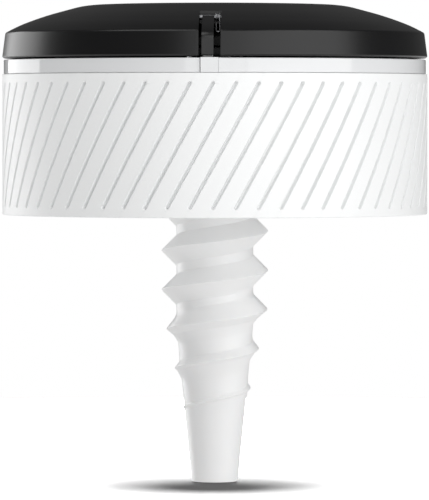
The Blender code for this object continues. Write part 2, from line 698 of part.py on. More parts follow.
def make_hinge():
    """Rear bracket with two ears, screwed to the deck, and the hinge pin."""
    top = BRACKET_Z1
    foot = DECK_Z1 + GAP
    bracket = block("hinge_bracket", (-BRACKET_HALF, BRACKET_Y, BAND_Z0), (BRACKET_HALF, 44, top),
                    group=COLLECTION, material=black_plastic("bracket_acetal"))
    trim = [(0, top + 1), (BAND_R, top + 1), (BAND_R, BAND_Z0 - 1), (0, BAND_Z0 - 1)]
    boolean(bracket, turned("bracket_round", trim, None, group=CUTTERS), "INTERSECT")
    join(bracket, block("bracket_foot", (-BRACKET_FOOT_HALF, BRACKET_FOOT_Y, foot),
                        (BRACKET_FOOT_HALF, BRACKET_Y + 0.8, foot + BRACKET_FOOT)))
    for side in (-1, 1):
        x = side * (HINGE_HALF + BARREL_HALF + EAR_GAP) / 2
        half = (HINGE_HALF - BARREL_HALF - EAR_GAP) / 2
        join(bracket, block(f"ear_web_{side}", (x - half, HINGE_Y - 1.5, top - 0.5),
                            (x + half, HINGE_Y + 1.5, HINGE_Z)))
        join(bracket, cross_cylinder(f"ear_{side}", KNUCKLE_R, half, HINGE_Y, HINGE_Z, x))
    cut(bracket, cross_cylinder("ear_bore", HINGE_HOLE_R, 12, HINGE_Y, HINGE_Z))
    cut(bracket, cylinders("foot_holes", BRACKET_SCREWS, SMALL_CLEAR_R, foot - 1, top + 2, segments=12))
    cut(bracket, cylinders("foot_counterbores", BRACKET_SCREWS, BRACKET_COUNTERBORE_R, foot + BRACKET_FOOT,
                           top + 2, segments=16))
    for i, spot in enumerate(BRACKET_SCREWS, 1):
        screw_fastener(f"bracket_screw_{i}", spot, foot + BRACKET_FOOT + SCREW_SINK, DECK_Z0 + 0.2,
                       SMALL_SHANK_R, BRACKET_HEAD_R, SMALL_HEAD,
                       steel(f"bracket_screw_steel_{i}"))
    cross_cylinder("hinge_pin", HINGE_PIN_R, HINGE_HALF - 0.1, HINGE_Y, HINGE_Z, group=COLLECTION,
                   material=steel("hinge_pin_steel"))


# ---------------------------------------------------------------- lid and latch

def chamfer_z(u):
    """Height of the lid's sloping top at a distance from the middle."""
    bends = [(LID_FLAT_R, LID_Z1), *LID_SLOPE, (LID_SHOULDER_R, LID_SHOULDER_Z)]
    for (near, high), (far, low) in zip(bends, bends[1:]):
        if u <= far:
            return high + (low - high) * (u - near) / (far - near)
    return LID_SHOULDER_Z


def wall_u(z):
    """Distance of the lid's outer wall from the middle at a height."""
    slope = (DRUM_R - LID_SHOULDER_R) / (LID_SHOULDER_Z - LID_Z0)
    return LID_SHOULDER_R + slope * (LID_SHOULDER_Z - z)


def make_lid(axis):
    roof_z = LID_Z1 - LID_ROOF
    profile = [
        (0, LID_Z1), (LID_FLAT_R, LID_Z1), *LID_SLOPE, (LID_SHOULDER_R, LID_SHOULDER_Z),
        (DRUM_R, LID_Z0 + GAP),
        (DRUM_R - GAP, LID_Z0), (LID_BORE_R, LID_Z0), (LID_BORE_R - 0.5, LID_SHOULDER_Z - 0.7),
        (LID_FLAT_R - 0.7, roof_z), (0, roof_z)]
    lid = turned("lid_shell", profile, black_plastic("lid_abs", 0.42), parent=axis)
    spots = on_circle(3, LINER_SCREW_PCR, 90)
    join(lid, cylinders("liner_bosses", spots, LINER_BOSS_R, LINER_Z1 + GAP, roof_z + 0.5, segments=12))
    cut(lid, cylinders("liner_boss_holes", spots, LINER_HOLE_R, LINER_Z1 - 1, LID_Z1 - 1.2, segments=12))
    cut(lid, block("hinge_notch", (-NOTCH_HALF, NOTCH_Y, LID_Z0 - 1), (NOTCH_HALF, 44, NOTCH_Z)))
    join(lid, block("barrel_web", (-BARREL_HALF, HINGE_Y - 1.4, HINGE_Z),
                    (BARREL_HALF, HINGE_Y + 1.2, 88.6)))
    join(lid, cross_cylinder("barrel", KNUCKLE_R, BARREL_HALF, HINGE_Y, HINGE_Z))
    cut(lid, cross_cylinder("barrel_bore", HINGE_HOLE_R, BARREL_HALF + 1, HINGE_Y, HINGE_Z))
    cut(lid, block("latch_slot", (-SLOT_HALF, -44, LID_Z0 - 1), (SLOT_HALF, -SLOT_INNER_R, LID_Z1 + 1)))
    cut(lid, cross_cylinder("latch_pin_hole", LATCH_HOLE_R, 3.8, LATCH_PIN_Y, LATCH_PIN_Z))


def make_lid_inside(axis):
    profile = [
        (LINER_BORE_R, LINER_Z1), (LINER_FLAT_R, LINER_Z1), (LINER_R, 87.4), (LINER_R, LID_SEAL_Z1 + GAP),
        (LID_SEAL_R0, LID_SEAL_Z1 + GAP), (LID_SEAL_R0, 86.4), (24.0, LINER_Z0), (LINER_BORE_R, LINER_Z0)]
    liner = turned("lid_liner", profile, black_plastic("liner_abs"), parent=axis)
    spots = on_circle(3, LINER_SCREW_PCR, 90)
    cut(liner, cylinders("liner_holes", spots, LINER_HOLE_R, LINER_Z0 - 1, LINER_Z1 + 1, segments=12))
    for i, spot in enumerate(spots, 1):
        upward_screw(f"liner_screw_{i}", spot, LINER_Z0 - SEAL_GAP, LINER_Z1 + 2.6, LINER_SHANK_R,
                     LINER_HEAD_R, SMALL_HEAD,
                     steel(f"liner_screw_steel_{i}"), parent=axis)
    ring("lid_gasket", LID_SEAL_R0, LID_SEAL_R1, LID_Z0, LID_SEAL_Z1, rubber("lid_gasket_rubber"),
         parent=axis, segments=MEDIUM)
    plug = [
        (0, PLUG_Z1), (PLUG_HEAD_R - 0.6, PLUG_Z1), (PLUG_HEAD_R, PLUG_Z1 - 0.7),
        (PLUG_HEAD_R, LINER_Z1 + GAP), (PLUG_STEM_R, LINER_Z1 + GAP), (PLUG_STEM_R, LINER_Z0 - GAP),
        (PLUG_FLANGE_R, LINER_Z0 - GAP), (PLUG_FLANGE_R, NOZZLE_TOP_Z + GAP),
        (PLUG_R, NOZZLE_TOP_Z + GAP), (PLUG_TIP_R, PLUG_Z0), (0, PLUG_Z0)]
    turned("nozzle_plug", plug, rubber("plug_silicone"), parent=axis, segments=24)


def make_latch(lid_axis, latch_axis):
    """L-shaped lever in the lid's front slot, on a cross pin, with its return spring."""
    cross_cylinder("latch_pin", LATCH_PIN_R, 3.6, LATCH_PIN_Y, LATCH_PIN_Z, group=COLLECTION,
                   segments=16, parent=lid_axis, material=steel("latch_pin_steel"))
    u, z = -LATCH_PIN_Y, LATCH_PIN_Z
    foot = LEVER_FOOT_Z
    face = wall_u(foot + 0.25)
    top = [(r, chamfer_z(r) - ARM_DROP) for r in (34.9, LID_SLOPE[1][0], 40.3)]
    under = [(r, chamfer_z(r) - ARM_DROP - ARM_THICK) for r in (39.6, LID_SLOPE[1][0], 35.0)]
    outline = arc(u, z, EYE_BORE_R, 150, 390, 10)
    outline += top
    outline += arc(*LEVER_BEND, LEVER_BEND_R, 60, -7, 4)
    outline += [(face - 0.05, foot + 0.25), (face - 0.25, foot), (39.3, foot), (39.0, foot + 0.3),
                (39.0, foot + 0.6), (40.3, foot + 1.8), (40.3, 86.7)]
    outline += under
    outline += arc(u, z, EYE_R, -65, -210, 7)
    flat_piece("latch_lever", outline, LEVER_WIDTH, LEVER_X, black_plastic("lever_acetal", 0.3),
               parent=latch_axis)
    make_latch_spring(lid_axis)


def make_latch_spring(axis):
    """Torsion spring on the latch pin, its leg bent into a hairpin beside the lever."""
    points = []
    for i in range(SPRING_STEPS + 1):
        share = i / SPRING_STEPS
        angle = math.radians(SPRING_END_DEG - 360 * SPRING_TURNS * (share - 1))
        points.append((SPRING_X0 + (SPRING_X1 - SPRING_X0) * share, -SPRING_R * math.cos(angle),
                       SPRING_R * math.sin(angle)))
    points += SPRING_LEG
    curve = bpy.data.curves.new("latch_spring", "CURVE")
    curve.dimensions = "3D"
    curve.bevel_depth = SPRING_WIRE_R * MM
    curve.bevel_resolution = 2
    curve.use_fill_caps = True
    spline = curve.splines.new("POLY")
    spline.points.add(len(points) - 1)
    for point, place in zip(spline.points, points):
        point.co = (*(Vector(place) * MM), 1)
    add_object("latch_spring", curve, (0, LATCH_PIN_Y, LATCH_PIN_Z), axis,
               steel("latch_spring_steel", 0.15))


def settle():
    """Turns each part into its finished mesh, with round faces shaded smooth."""
    bpy.context.view_layer.update()
    graph = bpy.context.evaluated_depsgraph_get()
    finished = {}
    parts = [item for item in bpy.data.collections[COLLECTION].objects if item.type == "MESH"]
    for item in parts:
        finished[item.name] = bpy.data.meshes.new_from_object(item.evaluated_get(graph))
    for item in parts:
        item.modifiers.clear()
        item.data = finished[item.name]
        smooth(item)


def main():
    start_clean()
    make_stopper()
    make_drum()
    make_chamber()
    make_deck()
    make_nozzle()
    make_breather()
    make_band()
    make_keeper()
    make_hinge()
    lid_axis = add_axis("lid_axis", (0, HINGE_Y, HINGE_Z))
    latch_axis = add_axis("latch_axis", (LEVER_X, LATCH_PIN_Y, LATCH_PIN_Z), lid_axis)
    make_lid(lid_axis)
    make_lid_inside(lid_axis)
    make_latch(lid_axis, latch_axis)
    settle()


main()
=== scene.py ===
"""Liquor pour spout: fine meshes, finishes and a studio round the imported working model."""
import json
import math
from types import SimpleNamespace

import bmesh
import bpy
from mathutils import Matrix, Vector


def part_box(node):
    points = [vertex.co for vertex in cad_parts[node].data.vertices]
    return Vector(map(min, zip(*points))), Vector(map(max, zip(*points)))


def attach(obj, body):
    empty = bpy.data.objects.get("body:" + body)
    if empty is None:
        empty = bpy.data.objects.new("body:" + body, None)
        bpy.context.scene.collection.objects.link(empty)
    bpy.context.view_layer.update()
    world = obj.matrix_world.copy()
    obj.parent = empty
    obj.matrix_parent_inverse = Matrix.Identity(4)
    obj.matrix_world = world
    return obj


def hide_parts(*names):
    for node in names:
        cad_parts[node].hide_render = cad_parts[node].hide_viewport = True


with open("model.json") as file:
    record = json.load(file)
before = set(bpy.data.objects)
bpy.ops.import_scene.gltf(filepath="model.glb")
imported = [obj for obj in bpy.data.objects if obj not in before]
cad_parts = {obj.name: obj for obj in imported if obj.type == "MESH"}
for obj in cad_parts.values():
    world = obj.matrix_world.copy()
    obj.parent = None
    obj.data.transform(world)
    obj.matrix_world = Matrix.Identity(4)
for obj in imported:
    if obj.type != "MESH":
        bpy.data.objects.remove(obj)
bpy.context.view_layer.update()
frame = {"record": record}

bl_info = {
    "name": "Liquor Pour Spout",
    "version": (1, 0, 0),
    "blender": (4, 5, 0),
    "location": "View3D > Sidebar > Pour Spout",
    "description": "Models a screw-in pour spout with a grooved drum and a latched flip lid",
    "category": "Object",
}

MM = 0.001
RECORD = frame["record"]
BODY_OF = {node: body for body, nodes in RECORD["behaviour"]["bodies"].items() for node in nodes}
SLOT_OF = {row["node"]: row["material_slot"] for row in RECORD["subparts"]}
JOINTS = {joint["name"]: joint for joint in RECORD["behaviour"]["joints"]}


def span(node):
    """Lowest and highest corners of a CAD node, in millimetres."""
    low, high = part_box(node)
    return Vector(low) / MM, Vector(high) / MM


LID_LOW, LID_HIGH = span("lid_shell")
DRUM_LOW, DRUM_HIGH = span("grip_drum")
BAND_LOW, BAND_HIGH = span("collar_ring")
STOPPER_HIGH = span("screw_stopper")[1]
DECK_LOW, DECK_HIGH = span("deck_plate")
NOZZLE_LOW, NOZZLE_HIGH = span("pour_nozzle")
LINER_LOW, LINER_HIGH = span("lid_liner")
HINGE = Vector(JOINTS["lid_hinge"]["pos_m"]) / MM
LATCH = Vector(JOINTS["latch_pivot"]["pos_m"]) / MM


def linear(hex_colour):
    """Turns an sRGB hex colour into linear red, green and blue."""
    channels = [int(hex_colour[i:i + 2], 16) / 255 for i in (0, 2, 4)]
    return tuple(c / 12.92 if c <= 0.04045 else ((c + 0.055) / 1.055) ** 2.4 for c in channels)


def length(name, description, millimetres):
    """A length property, kept in metres like the scene."""
    return bpy.props.FloatProperty(
        name=name, description=description, default=millimetres * MM, min=0.01 * MM, precision=5,
        subtype="DISTANCE", unit="LENGTH")


def radius_and_height(name, description, millimetres):
    """A property for a point on a turned piece's outline, kept in metres like the scene."""
    return bpy.props.FloatVectorProperty(
        name=name, description=description, default=[value * MM for value in millimetres], size=2,
        precision=5, subtype="TRANSLATION", unit="LENGTH")


def in_mm(group):
    """The values of a group of sizes, its lengths turned into millimetres."""
    values = SimpleNamespace()
    for entry in group.bl_rna.properties:
        if entry.type not in {"FLOAT", "INT"}:
            continue
        value = getattr(group, entry.identifier)
        if entry.type == "FLOAT" and entry.unit == "LENGTH":
            value = [part / MM for part in value] if entry.is_array else value / MM
        setattr(values, entry.identifier, value)
    return values


def colour(name, description, hex_colour):
    """A colour property, given as an sRGB hex colour and kept linear."""
    return bpy.props.FloatVectorProperty(
        name=name, description=description, default=linear(hex_colour), subtype="COLOR",
        min=0.0, max=1.0)


class SpoutDrumSizes(bpy.types.PropertyGroup):
    """Sizes of the grip drum."""
    grooves: bpy.props.IntProperty(
        name="Grooves", description="Grip grooves round the drum", default=60, min=6)
    twist: bpy.props.FloatProperty(
        name="Twist", description="Turn of a groove from its foot to its top", subtype="ANGLE",
        default=math.radians(18.6))
    first: bpy.props.FloatProperty(
        name="First groove", description="Top of the first groove, from the latch towards +X",
        subtype="ANGLE", default=math.radians(1.2))
    half_width: length("Half width", "Half of a groove's width, across it", 0.42)
    wall: length("Groove wall", "Width of a groove's sloping wall", 0.3)
    depth: length("Groove depth", "Depth of a groove", 0.95)
    foot_gap: length("Foot gap", "Plain height under the grooves", 1.5)
    head_gap: length("Head gap", "Plain height over the grooves", 1.6)
    foot_round: length("Foot rounding", "Radius of the drum's lower edge", 0.2)


class SpoutThreadSizes(bpy.types.PropertyGroup):
    """Sizes of the stopper's screw thread."""
    pitch: length("Pitch", "Rise of the thread in one turn", 7.79)
    crest: length("Crest radius", "Radius of the thread's crest on the straight part", 10.54)
    root: length("Root radius", "Radius of the straight root", 7.6)
    tip: length("Tip radius", "Radius of the root at the tip", 4.55)
    crest_at_x: length("Crest height", "Height of the lowest crest over +X", 2.86)
    root_taper: length("Root taper height", "Height where the root stops widening", 30.9)
    crest_taper: length("Crest taper height", "Height where the crest stops widening", 34.7)
    crest_slope: length("Crest slope", "Widening of the crest with height", 0.213)


class SpoutLidSizes(bpy.types.PropertyGroup):
    """Sizes of the lid and its latch."""
    flat_radius: length("Flat radius", "Radius of the lid's flat top", 25.5)
    shoulder_radius: length("Shoulder radius", "Radius where the slope meets the wall", 41.4)
    shoulder_height: length("Shoulder height", "Height of that shoulder", 88.7)
    upper_bend: radius_and_height(
        "Upper bend", "Radius and height where the slope first steepens", (33.5, 92.05))
    lower_bend: radius_and_height(
        "Lower bend", "Radius and height of the slope's next bend", (38.5, 90.2))
    thickness: length("Thickness", "Thickness of the lid's roof and wall", 2.2)
    slot_half: length("Slot half width", "Half of the latch slot's width", 2.1)
    slot_inner: length("Slot inner radius", "Radius of the slot's inner end", 32.0)
    lever_width: length("Lever width", "Width of the latch lever", 2.3)


class SpoutColours(bpy.types.PropertyGroup):
    """Base colours of the finishes."""
    drum: colour("Drum", "Satin white ABS", "F3F4F4")
    band: colour("Band", "Glossy white ABS", "E1E2E3")
    stopper: colour("Stopper", "Natural white polypropylene", "F7F7F7")
    lid: colour("Lid", "Satin black ABS", "0D0D0E")
    lever: colour("Lever", "Black acetal", "111112")
    inner: colour("Inner white", "Natural acetal", "E3E3E0")
    rubber: colour("Rubber", "Black silicone", "2A2A2C")
    steel: colour("Steel", "Stainless steel", "C9CACC")
    wire: colour("Wire", "Tempered steel of the latch's spring and pin", "98999B")
    liner: colour("Liner", "Matt black ABS", "060606")
    chamber: colour("Chamber", "Clear copolyester", "E8F0F2")


# ---------------------------------------------------------------- modelling helpers

def deselect():
    """Leaves edit mode and drops every selection, the CAD nodes' included."""
    if bpy.context.object is not None and bpy.context.object.mode != "OBJECT":
        bpy.ops.object.mode_set(mode="OBJECT")
    for item in list(bpy.context.selected_objects):
        item.select_set(False)


def activate(piece):
    """Selects one piece alone and makes it the active one."""
    deselect()
    piece.select_set(True)
    bpy.context.view_layer.objects.active = piece


def added(name):
    """Names the primitive that was just added."""
    piece = bpy.context.active_object
    piece.name = name
    piece.data.name = name
    return piece


def pick(piece, domain, test):
    """Selects, in edit mode, the vertices, edges or faces whose middle (in mm) passes a test."""
    bpy.ops.mesh.select_mode(type={"verts": "VERT", "edges": "EDGE", "faces": "FACE"}[domain])
    bpy.ops.mesh.select_all(action="DESELECT")
    shape = bmesh.from_edit_mesh(piece.data)
    found = 0
    for part in getattr(shape, domain):
        if domain == "verts":
            middle = part.co
        elif domain == "edges":
            middle = (part.verts[0].co + part.verts[1].co) / 2
        else:
            middle = part.calc_center_median()
        if test(middle / MM):
            part.select_set(True)
            found += 1
    shape.select_flush_mode()
    bmesh.update_edit_mesh(piece.data)
    if not found:
        raise RuntimeError(f"nothing to select on {piece.name}")


def smooth(piece, angle=30.0):
    """Shades smooth, with edges over the angle (in degrees) kept sharp."""
    activate(piece)
    bpy.ops.object.shade_smooth_by_angle(angle=math.radians(angle))


def settle(piece):
    """Moves the object's place into its mesh, so that it sits unturned at the origin."""
    activate(piece)
    bpy.ops.object.transform_apply(location=True, rotation=True, scale=True)


def weld(distance=0.0005):
    """Merges doubles (distance in mm) and turns the faces outwards, in edit mode."""
    bpy.ops.mesh.select_all(action="SELECT")
    bpy.ops.mesh.remove_doubles(threshold=distance * MM)
    bpy.ops.mesh.normals_make_consistent(inside=False)


def turned(name, corners, steps=160, at=(0.0, 0.0), fillet_steps=4):
    """Spins a cross-section of (radius, height, fillet) corners, in mm, about an upright axis."""
    deselect()
    bpy.ops.mesh.primitive_circle_add(vertices=len(corners), radius=MM)
    piece = added(name)
    for vertex, (r, z, _) in zip(piece.data.vertices, corners):
        vertex.co = (r * MM, 0, z * MM)
    bpy.ops.object.mode_set(mode="EDIT")
    for r, z, fillet in corners:
        if fillet:
            pick(piece, "verts", lambda p, r=r, z=z: math.hypot(p.x - r, p.z - z) < 0.001)
            bpy.ops.mesh.bevel(
                offset=fillet * MM, offset_type="OFFSET", segments=fillet_steps, affect="VERTICES")
    if corners[0][0] == 0:
        pick(piece, "edges", lambda p: p.x < 0.001)
        bpy.ops.mesh.delete(type="EDGE")
    bpy.ops.mesh.select_all(action="SELECT")
    bpy.ops.mesh.spin(steps=steps, angle=2 * math.pi, center=(0, 0, 0), axis=(0, 0, 1))
    weld()
    bpy.ops.object.mode_set(mode="OBJECT")
    piece.location = (at[0] * MM, at[1] * MM, 0)
    settle(piece)
    smooth(piece)
    return piece


def extruded(name, outline, width, x, rounding):
    """Fills an outline of (distance in front of the axis, height) points and gives it a width."""
    deselect()
    bpy.ops.mesh.primitive_circle_add(vertices=len(outline), radius=MM, fill_type="NGON")
    piece = added(name)
    for vertex, (u, z) in zip(piece.data.vertices, outline):
        vertex.co = ((x - width / 2) * MM, -u * MM, z * MM)
    bpy.ops.object.mode_set(mode="EDIT")
    bpy.ops.mesh.select_all(action="SELECT")
    bpy.ops.mesh.extrude_region_move(TRANSFORM_OT_translate={"value": (width * MM, 0, 0)})
    weld()
    bpy.ops.object.mode_set(mode="OBJECT")
    if rounding:
        soften(piece, rounding)
    return piece


def arc(u, z, radius, start, end, steps):
    """Points on an arc, in the plane of distance in front of the axis and height."""
    turns = [math.radians(start + (end - start) * i / steps) for i in range(steps + 1)]
    return [(u + radius * math.cos(t), z + radius * math.sin(t)) for t in turns]


def soften(piece, width, angle=40.0, segments=3):
    """Rounds the sharp edges with an applied bevel."""
    activate(piece)
    bevel = piece.modifiers.new("soften", "BEVEL")
    bevel.width = width * MM
    bevel.segments = segments
    bevel.limit_method = "ANGLE"
    bevel.angle_limit = math.radians(angle)
    bpy.ops.object.modifier_apply(modifier=bevel.name)
    smooth(piece)


def combine(piece, tool, operation):
    """Cuts or joins with a tool, which is used up."""
    activate(piece)
    change = piece.modifiers.new(operation.lower(), "BOOLEAN")
    change.operation = operation
    change.object = tool
    bpy.ops.object.modifier_apply(modifier=change.name)
    bpy.data.objects.remove(tool, do_unlink=True)


def box(low, high):
    """A cuboid between two corners, in mm, as a tool or a blank."""
    deselect()
    size = Vector(high) - Vector(low)
    middle = (Vector(high) + Vector(low)) / 2
    bpy.ops.mesh.primitive_cube_add(size=1, location=middle * MM, scale=size * MM)
    blank = added("blank")
    settle(blank)
    return blank


def rod(start, end, radius, sides=48):
    """A round bar between two points, in mm, as a tool or a blank."""
    deselect()
    run = Vector(end) - Vector(start)
    bpy.ops.mesh.primitive_cylinder_add(
        vertices=sides, radius=radius * MM, depth=run.length * MM,
        location=(Vector(start) + Vector(end)) / 2 * MM,
        rotation=run.to_track_quat("Z", "Y").to_euler())
    blank = added("blank")
    settle(blank)
    return blank


def drill(piece, spots, radius, z0, z1, sides=32):
    """Drills upright holes at spots seen from above, in mm."""
    for x, y in spots:
        combine(piece, rod((x, y, z0), (x, y, z1), radius, sides), "DIFFERENCE")


def on_circle(count, radius, start):
    """Spots evenly round a circle, in mm, from a first angle in degrees."""
    turns = [math.radians(start + 360.0 * i / count) for i in range(count)]
    return [(radius * math.cos(t), radius * math.sin(t)) for t in turns]


# Where the screws and the breather stand, seen from above.
DECK_SCREWS = on_circle(4, 31.5, 45)
NOZZLE_SCREWS = on_circle(3, 8.7, 90)
LINER_SCREWS = on_circle(3, 20, 90)
BRACKET_SCREWS = [(-11.0, 35.8), (11.0, 35.8)]
BREATHER = (0, 17)


def sheet(name, columns, rows, place):
    """Wraps a grid primitive: place gives each crossing's point, in mm, from column and row."""
    deselect()
    bpy.ops.mesh.primitive_grid_add(x_subdivisions=columns, y_subdivisions=rows, size=2)
    piece = added(name)
    for vertex in piece.data.vertices:
        column = round((vertex.co.x + 1) / 2 * columns)
        row = round((vertex.co.y + 1) / 2 * rows)
        vertex.co = Vector(place(column, row)) * MM
    bpy.ops.object.mode_set(mode="EDIT")
    weld()
    return piece


def run_on(piece, stops):
    """Extrudes the selected rim through (radius, height) stops, in mm, in edit mode."""
    for radius, z in stops:
        bpy.ops.mesh.extrude_region_move(TRANSFORM_OT_translate={"value": (0, 0, 0)})
        shape = bmesh.from_edit_mesh(piece.data)
        for vertex in shape.verts:
            if vertex.select:
                flat = Vector((vertex.co.x, vertex.co.y)).normalized() * radius * MM
                vertex.co = (flat.x, flat.y, z * MM)
        bmesh.update_edit_mesh(piece.data)


def face_outwards(piece):
    """Turns the faces of a closed piece round if it has come out inside out."""
    activate(piece)
    bpy.ops.object.mode_set(mode="EDIT")
    if bmesh.from_edit_mesh(piece.data).calc_volume(signed=True) < 0:
        bpy.ops.mesh.select_all(action="SELECT")
        bpy.ops.mesh.flip_normals()
    bpy.ops.object.mode_set(mode="OBJECT")


def stand_for(piece, node, material):
    """Hands a finished piece to the frame in place of its CAD node."""
    face_outwards(piece)
    # Large flat faces keep their own normal, so that a drilled hole leaves no streaks round it.
    weights = piece.modifiers.new("weights", "WEIGHTED_NORMAL")
    weights.keep_sharp = True
    bpy.ops.object.modifier_apply(modifier=weights.name)
    piece.data.materials.clear()
    piece.data.materials.append(material)
    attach(piece, BODY_OF[node])
    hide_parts(node)


def refinish(node, material):
    """Gives a CAD node that stays a better material."""
    item = bpy.data.objects[node]
    for slot in item.material_slots:
        slot.material = material


# ---------------------------------------------------------------- finishes

def new_finish(name):
    """A new material with nodes, and its shader ready to set."""
    material = bpy.data.materials.new(name)
    material.use_nodes = True
    return material, material.node_tree.nodes["Principled BSDF"]


def add_node(material, kind, links=(), **settings):
    """Adds a node with its settings and links.

    Settings are inputs where the node has one of that name, and properties otherwise. A link is
    (output socket, input name) into the new node.
    """
    node = material.node_tree.nodes.new(kind)
    for name, value in settings.items():
        socket = name.replace("_", " ").title()
        if socket in node.inputs:
            node.inputs[socket].default_value = value
        else:
            setattr(node, name, value)
    for source, target in links:
        material.node_tree.links.new(source, node.inputs[target])
    return node


def moulded(name, base, roughness, grain, grain_depth, patches=0.03, ior=None):
    """A moulded plastic: tool texture as a fine bump, and slow changes of colour and gloss.

    Grain is the tool texture's spacing and grain_depth its height, both in millimetres.
    """
    material, shader = new_finish(name)
    if ior:
        shader.inputs["IOR"].default_value = ior
    where = add_node(material, "ShaderNodeTexCoord")
    texture = add_node(
        material, "ShaderNodeTexNoise", [(where.outputs["Object"], "Vector")],
        scale=1 / (grain * MM), detail=3.0, roughness=0.6)
    bump = add_node(
        material, "ShaderNodeBump", [(texture.outputs["Fac"], "Height")],
        strength=1.0, distance=grain_depth * MM)
    flow = add_node(
        material, "ShaderNodeTexNoise", [(where.outputs["Object"], "Vector")],
        scale=1 / (9.0 * MM), detail=2.0)
    gloss = add_node(
        material, "ShaderNodeMapRange", [(flow.outputs["Fac"], "Value")],
        to_min=roughness - patches, to_max=roughness + patches)
    tint = add_node(
        material, "ShaderNodeMix", [(flow.outputs["Fac"], "Factor")], data_type="RGBA")
    # A colour mix takes its two colours on inputs 6 and 7 and gives its result on output 2.
    tint.inputs[6].default_value = (*[c * 0.985 for c in base], 1.0)
    tint.inputs[7].default_value = (*base, 1.0)
    links = material.node_tree.links
    links.new(tint.outputs[2], shader.inputs["Base Color"])
    links.new(gloss.outputs["Result"], shader.inputs["Roughness"])
    links.new(bump.outputs["Normal"], shader.inputs["Normal"])
    return material, shader


def make_finishes(colours):
    """Makes the object's finishes, named for what the real ones are."""
    # Satin white ABS: a spark-eroded tool leaves a fine, even grain and a soft sheen.
    drum, _ = moulded("satin_white_abs", colours.drum, 0.42, 0.12, 0.0012, ior=1.49)
    # Glossy white ABS: a polished tool, so the reflections of the lights keep their edges.
    band, _ = moulded("gloss_white_abs", colours.band, 0.07, 0.8, 0.0002, patches=0.015, ior=1.6)
    # Natural polypropylene: waxy, and light sinks a few tenths of a millimetre into it.
    stopper, wax = moulded("natural_polypropylene", colours.stopper, 0.33, 0.2, 0.0008)
    wax.inputs["Subsurface Weight"].default_value = 0.25
    wax.inputs["Subsurface Radius"].default_value = (1.0, 0.95, 0.9)
    wax.inputs["Subsurface Scale"].default_value = 0.8 * MM
    # Satin black ABS: the same spark-eroded grain, which spreads reflections on black.
    lid, _ = moulded("satin_black_abs", colours.lid, 0.3, 0.1, 0.0012, patches=0.02, ior=1.45)
    # Matt black ABS: a coarser spark-eroded tool face, for the liner that's only seen inside.
    liner, _ = moulded("matt_black_abs", colours.liner, 0.62, 0.2, 0.003)
    # Black acetal: slippery and a little shinier than the lid.
    lever, _ = moulded("black_acetal", colours.lever, 0.3, 0.15, 0.0008, patches=0.02)
    # Natural acetal, milky white, for the inner fittings.
    inner, _ = moulded("natural_acetal", colours.inner, 0.38, 0.15, 0.001)
    # Silicone rubber: matt, with a faint talc bloom.
    rubber, _ = moulded("black_silicone", colours.rubber, 0.6, 0.25, 0.003, patches=0.06)
    finishes = {"drum_plastic": drum, "band_plastic": band, "stopper_plastic": stopper,
                "lid_plastic": lid, "lever_plastic": lever, "inner_plastic": inner,
                "seal_rubber": rubber, "liner": liner}
    # Stainless steels: bright-polished, tumbled for the screws and drawn for the wire.
    steels = {"bright_steel": (0.14, 0.05, colours.steel), "screw_steel": (0.34, 0.12, colours.steel),
              "spring_steel": (0.32, 0.06, colours.wire)}
    for slot, (roughness, grain, base) in steels.items():
        steel, shader = moulded(f"{slot}_stainless", base, roughness, grain, 0.0003)
        shader.inputs["Metallic"].default_value = 1.0
        finishes[slot] = steel
    # Clear copolyester: water-clear, so the metering ball shows through the chamber's wall.
    clear, shader = moulded("clear_copolyester", colours.chamber, 0.08, 0.6, 0.0002, ior=1.57)
    shader.inputs["Transmission Weight"].default_value = 0.9
    finishes["chamber_plastic"] = clear
    return finishes


FINISHES = {}


def finish(slot):
    """The finish of a material slot; all of them are made on the first call."""
    if not FINISHES:
        FINISHES.update(make_finishes(bpy.context.scene.spout_colours))
    return FINISHES[slot]


def hand_over(piece, node):
    """Gives a finished piece its slot's finish and hands it to the frame."""
    stand_for(piece, node, finish(SLOT_OF[node]))


# ---------------------------------------------------------------- drum and stopper

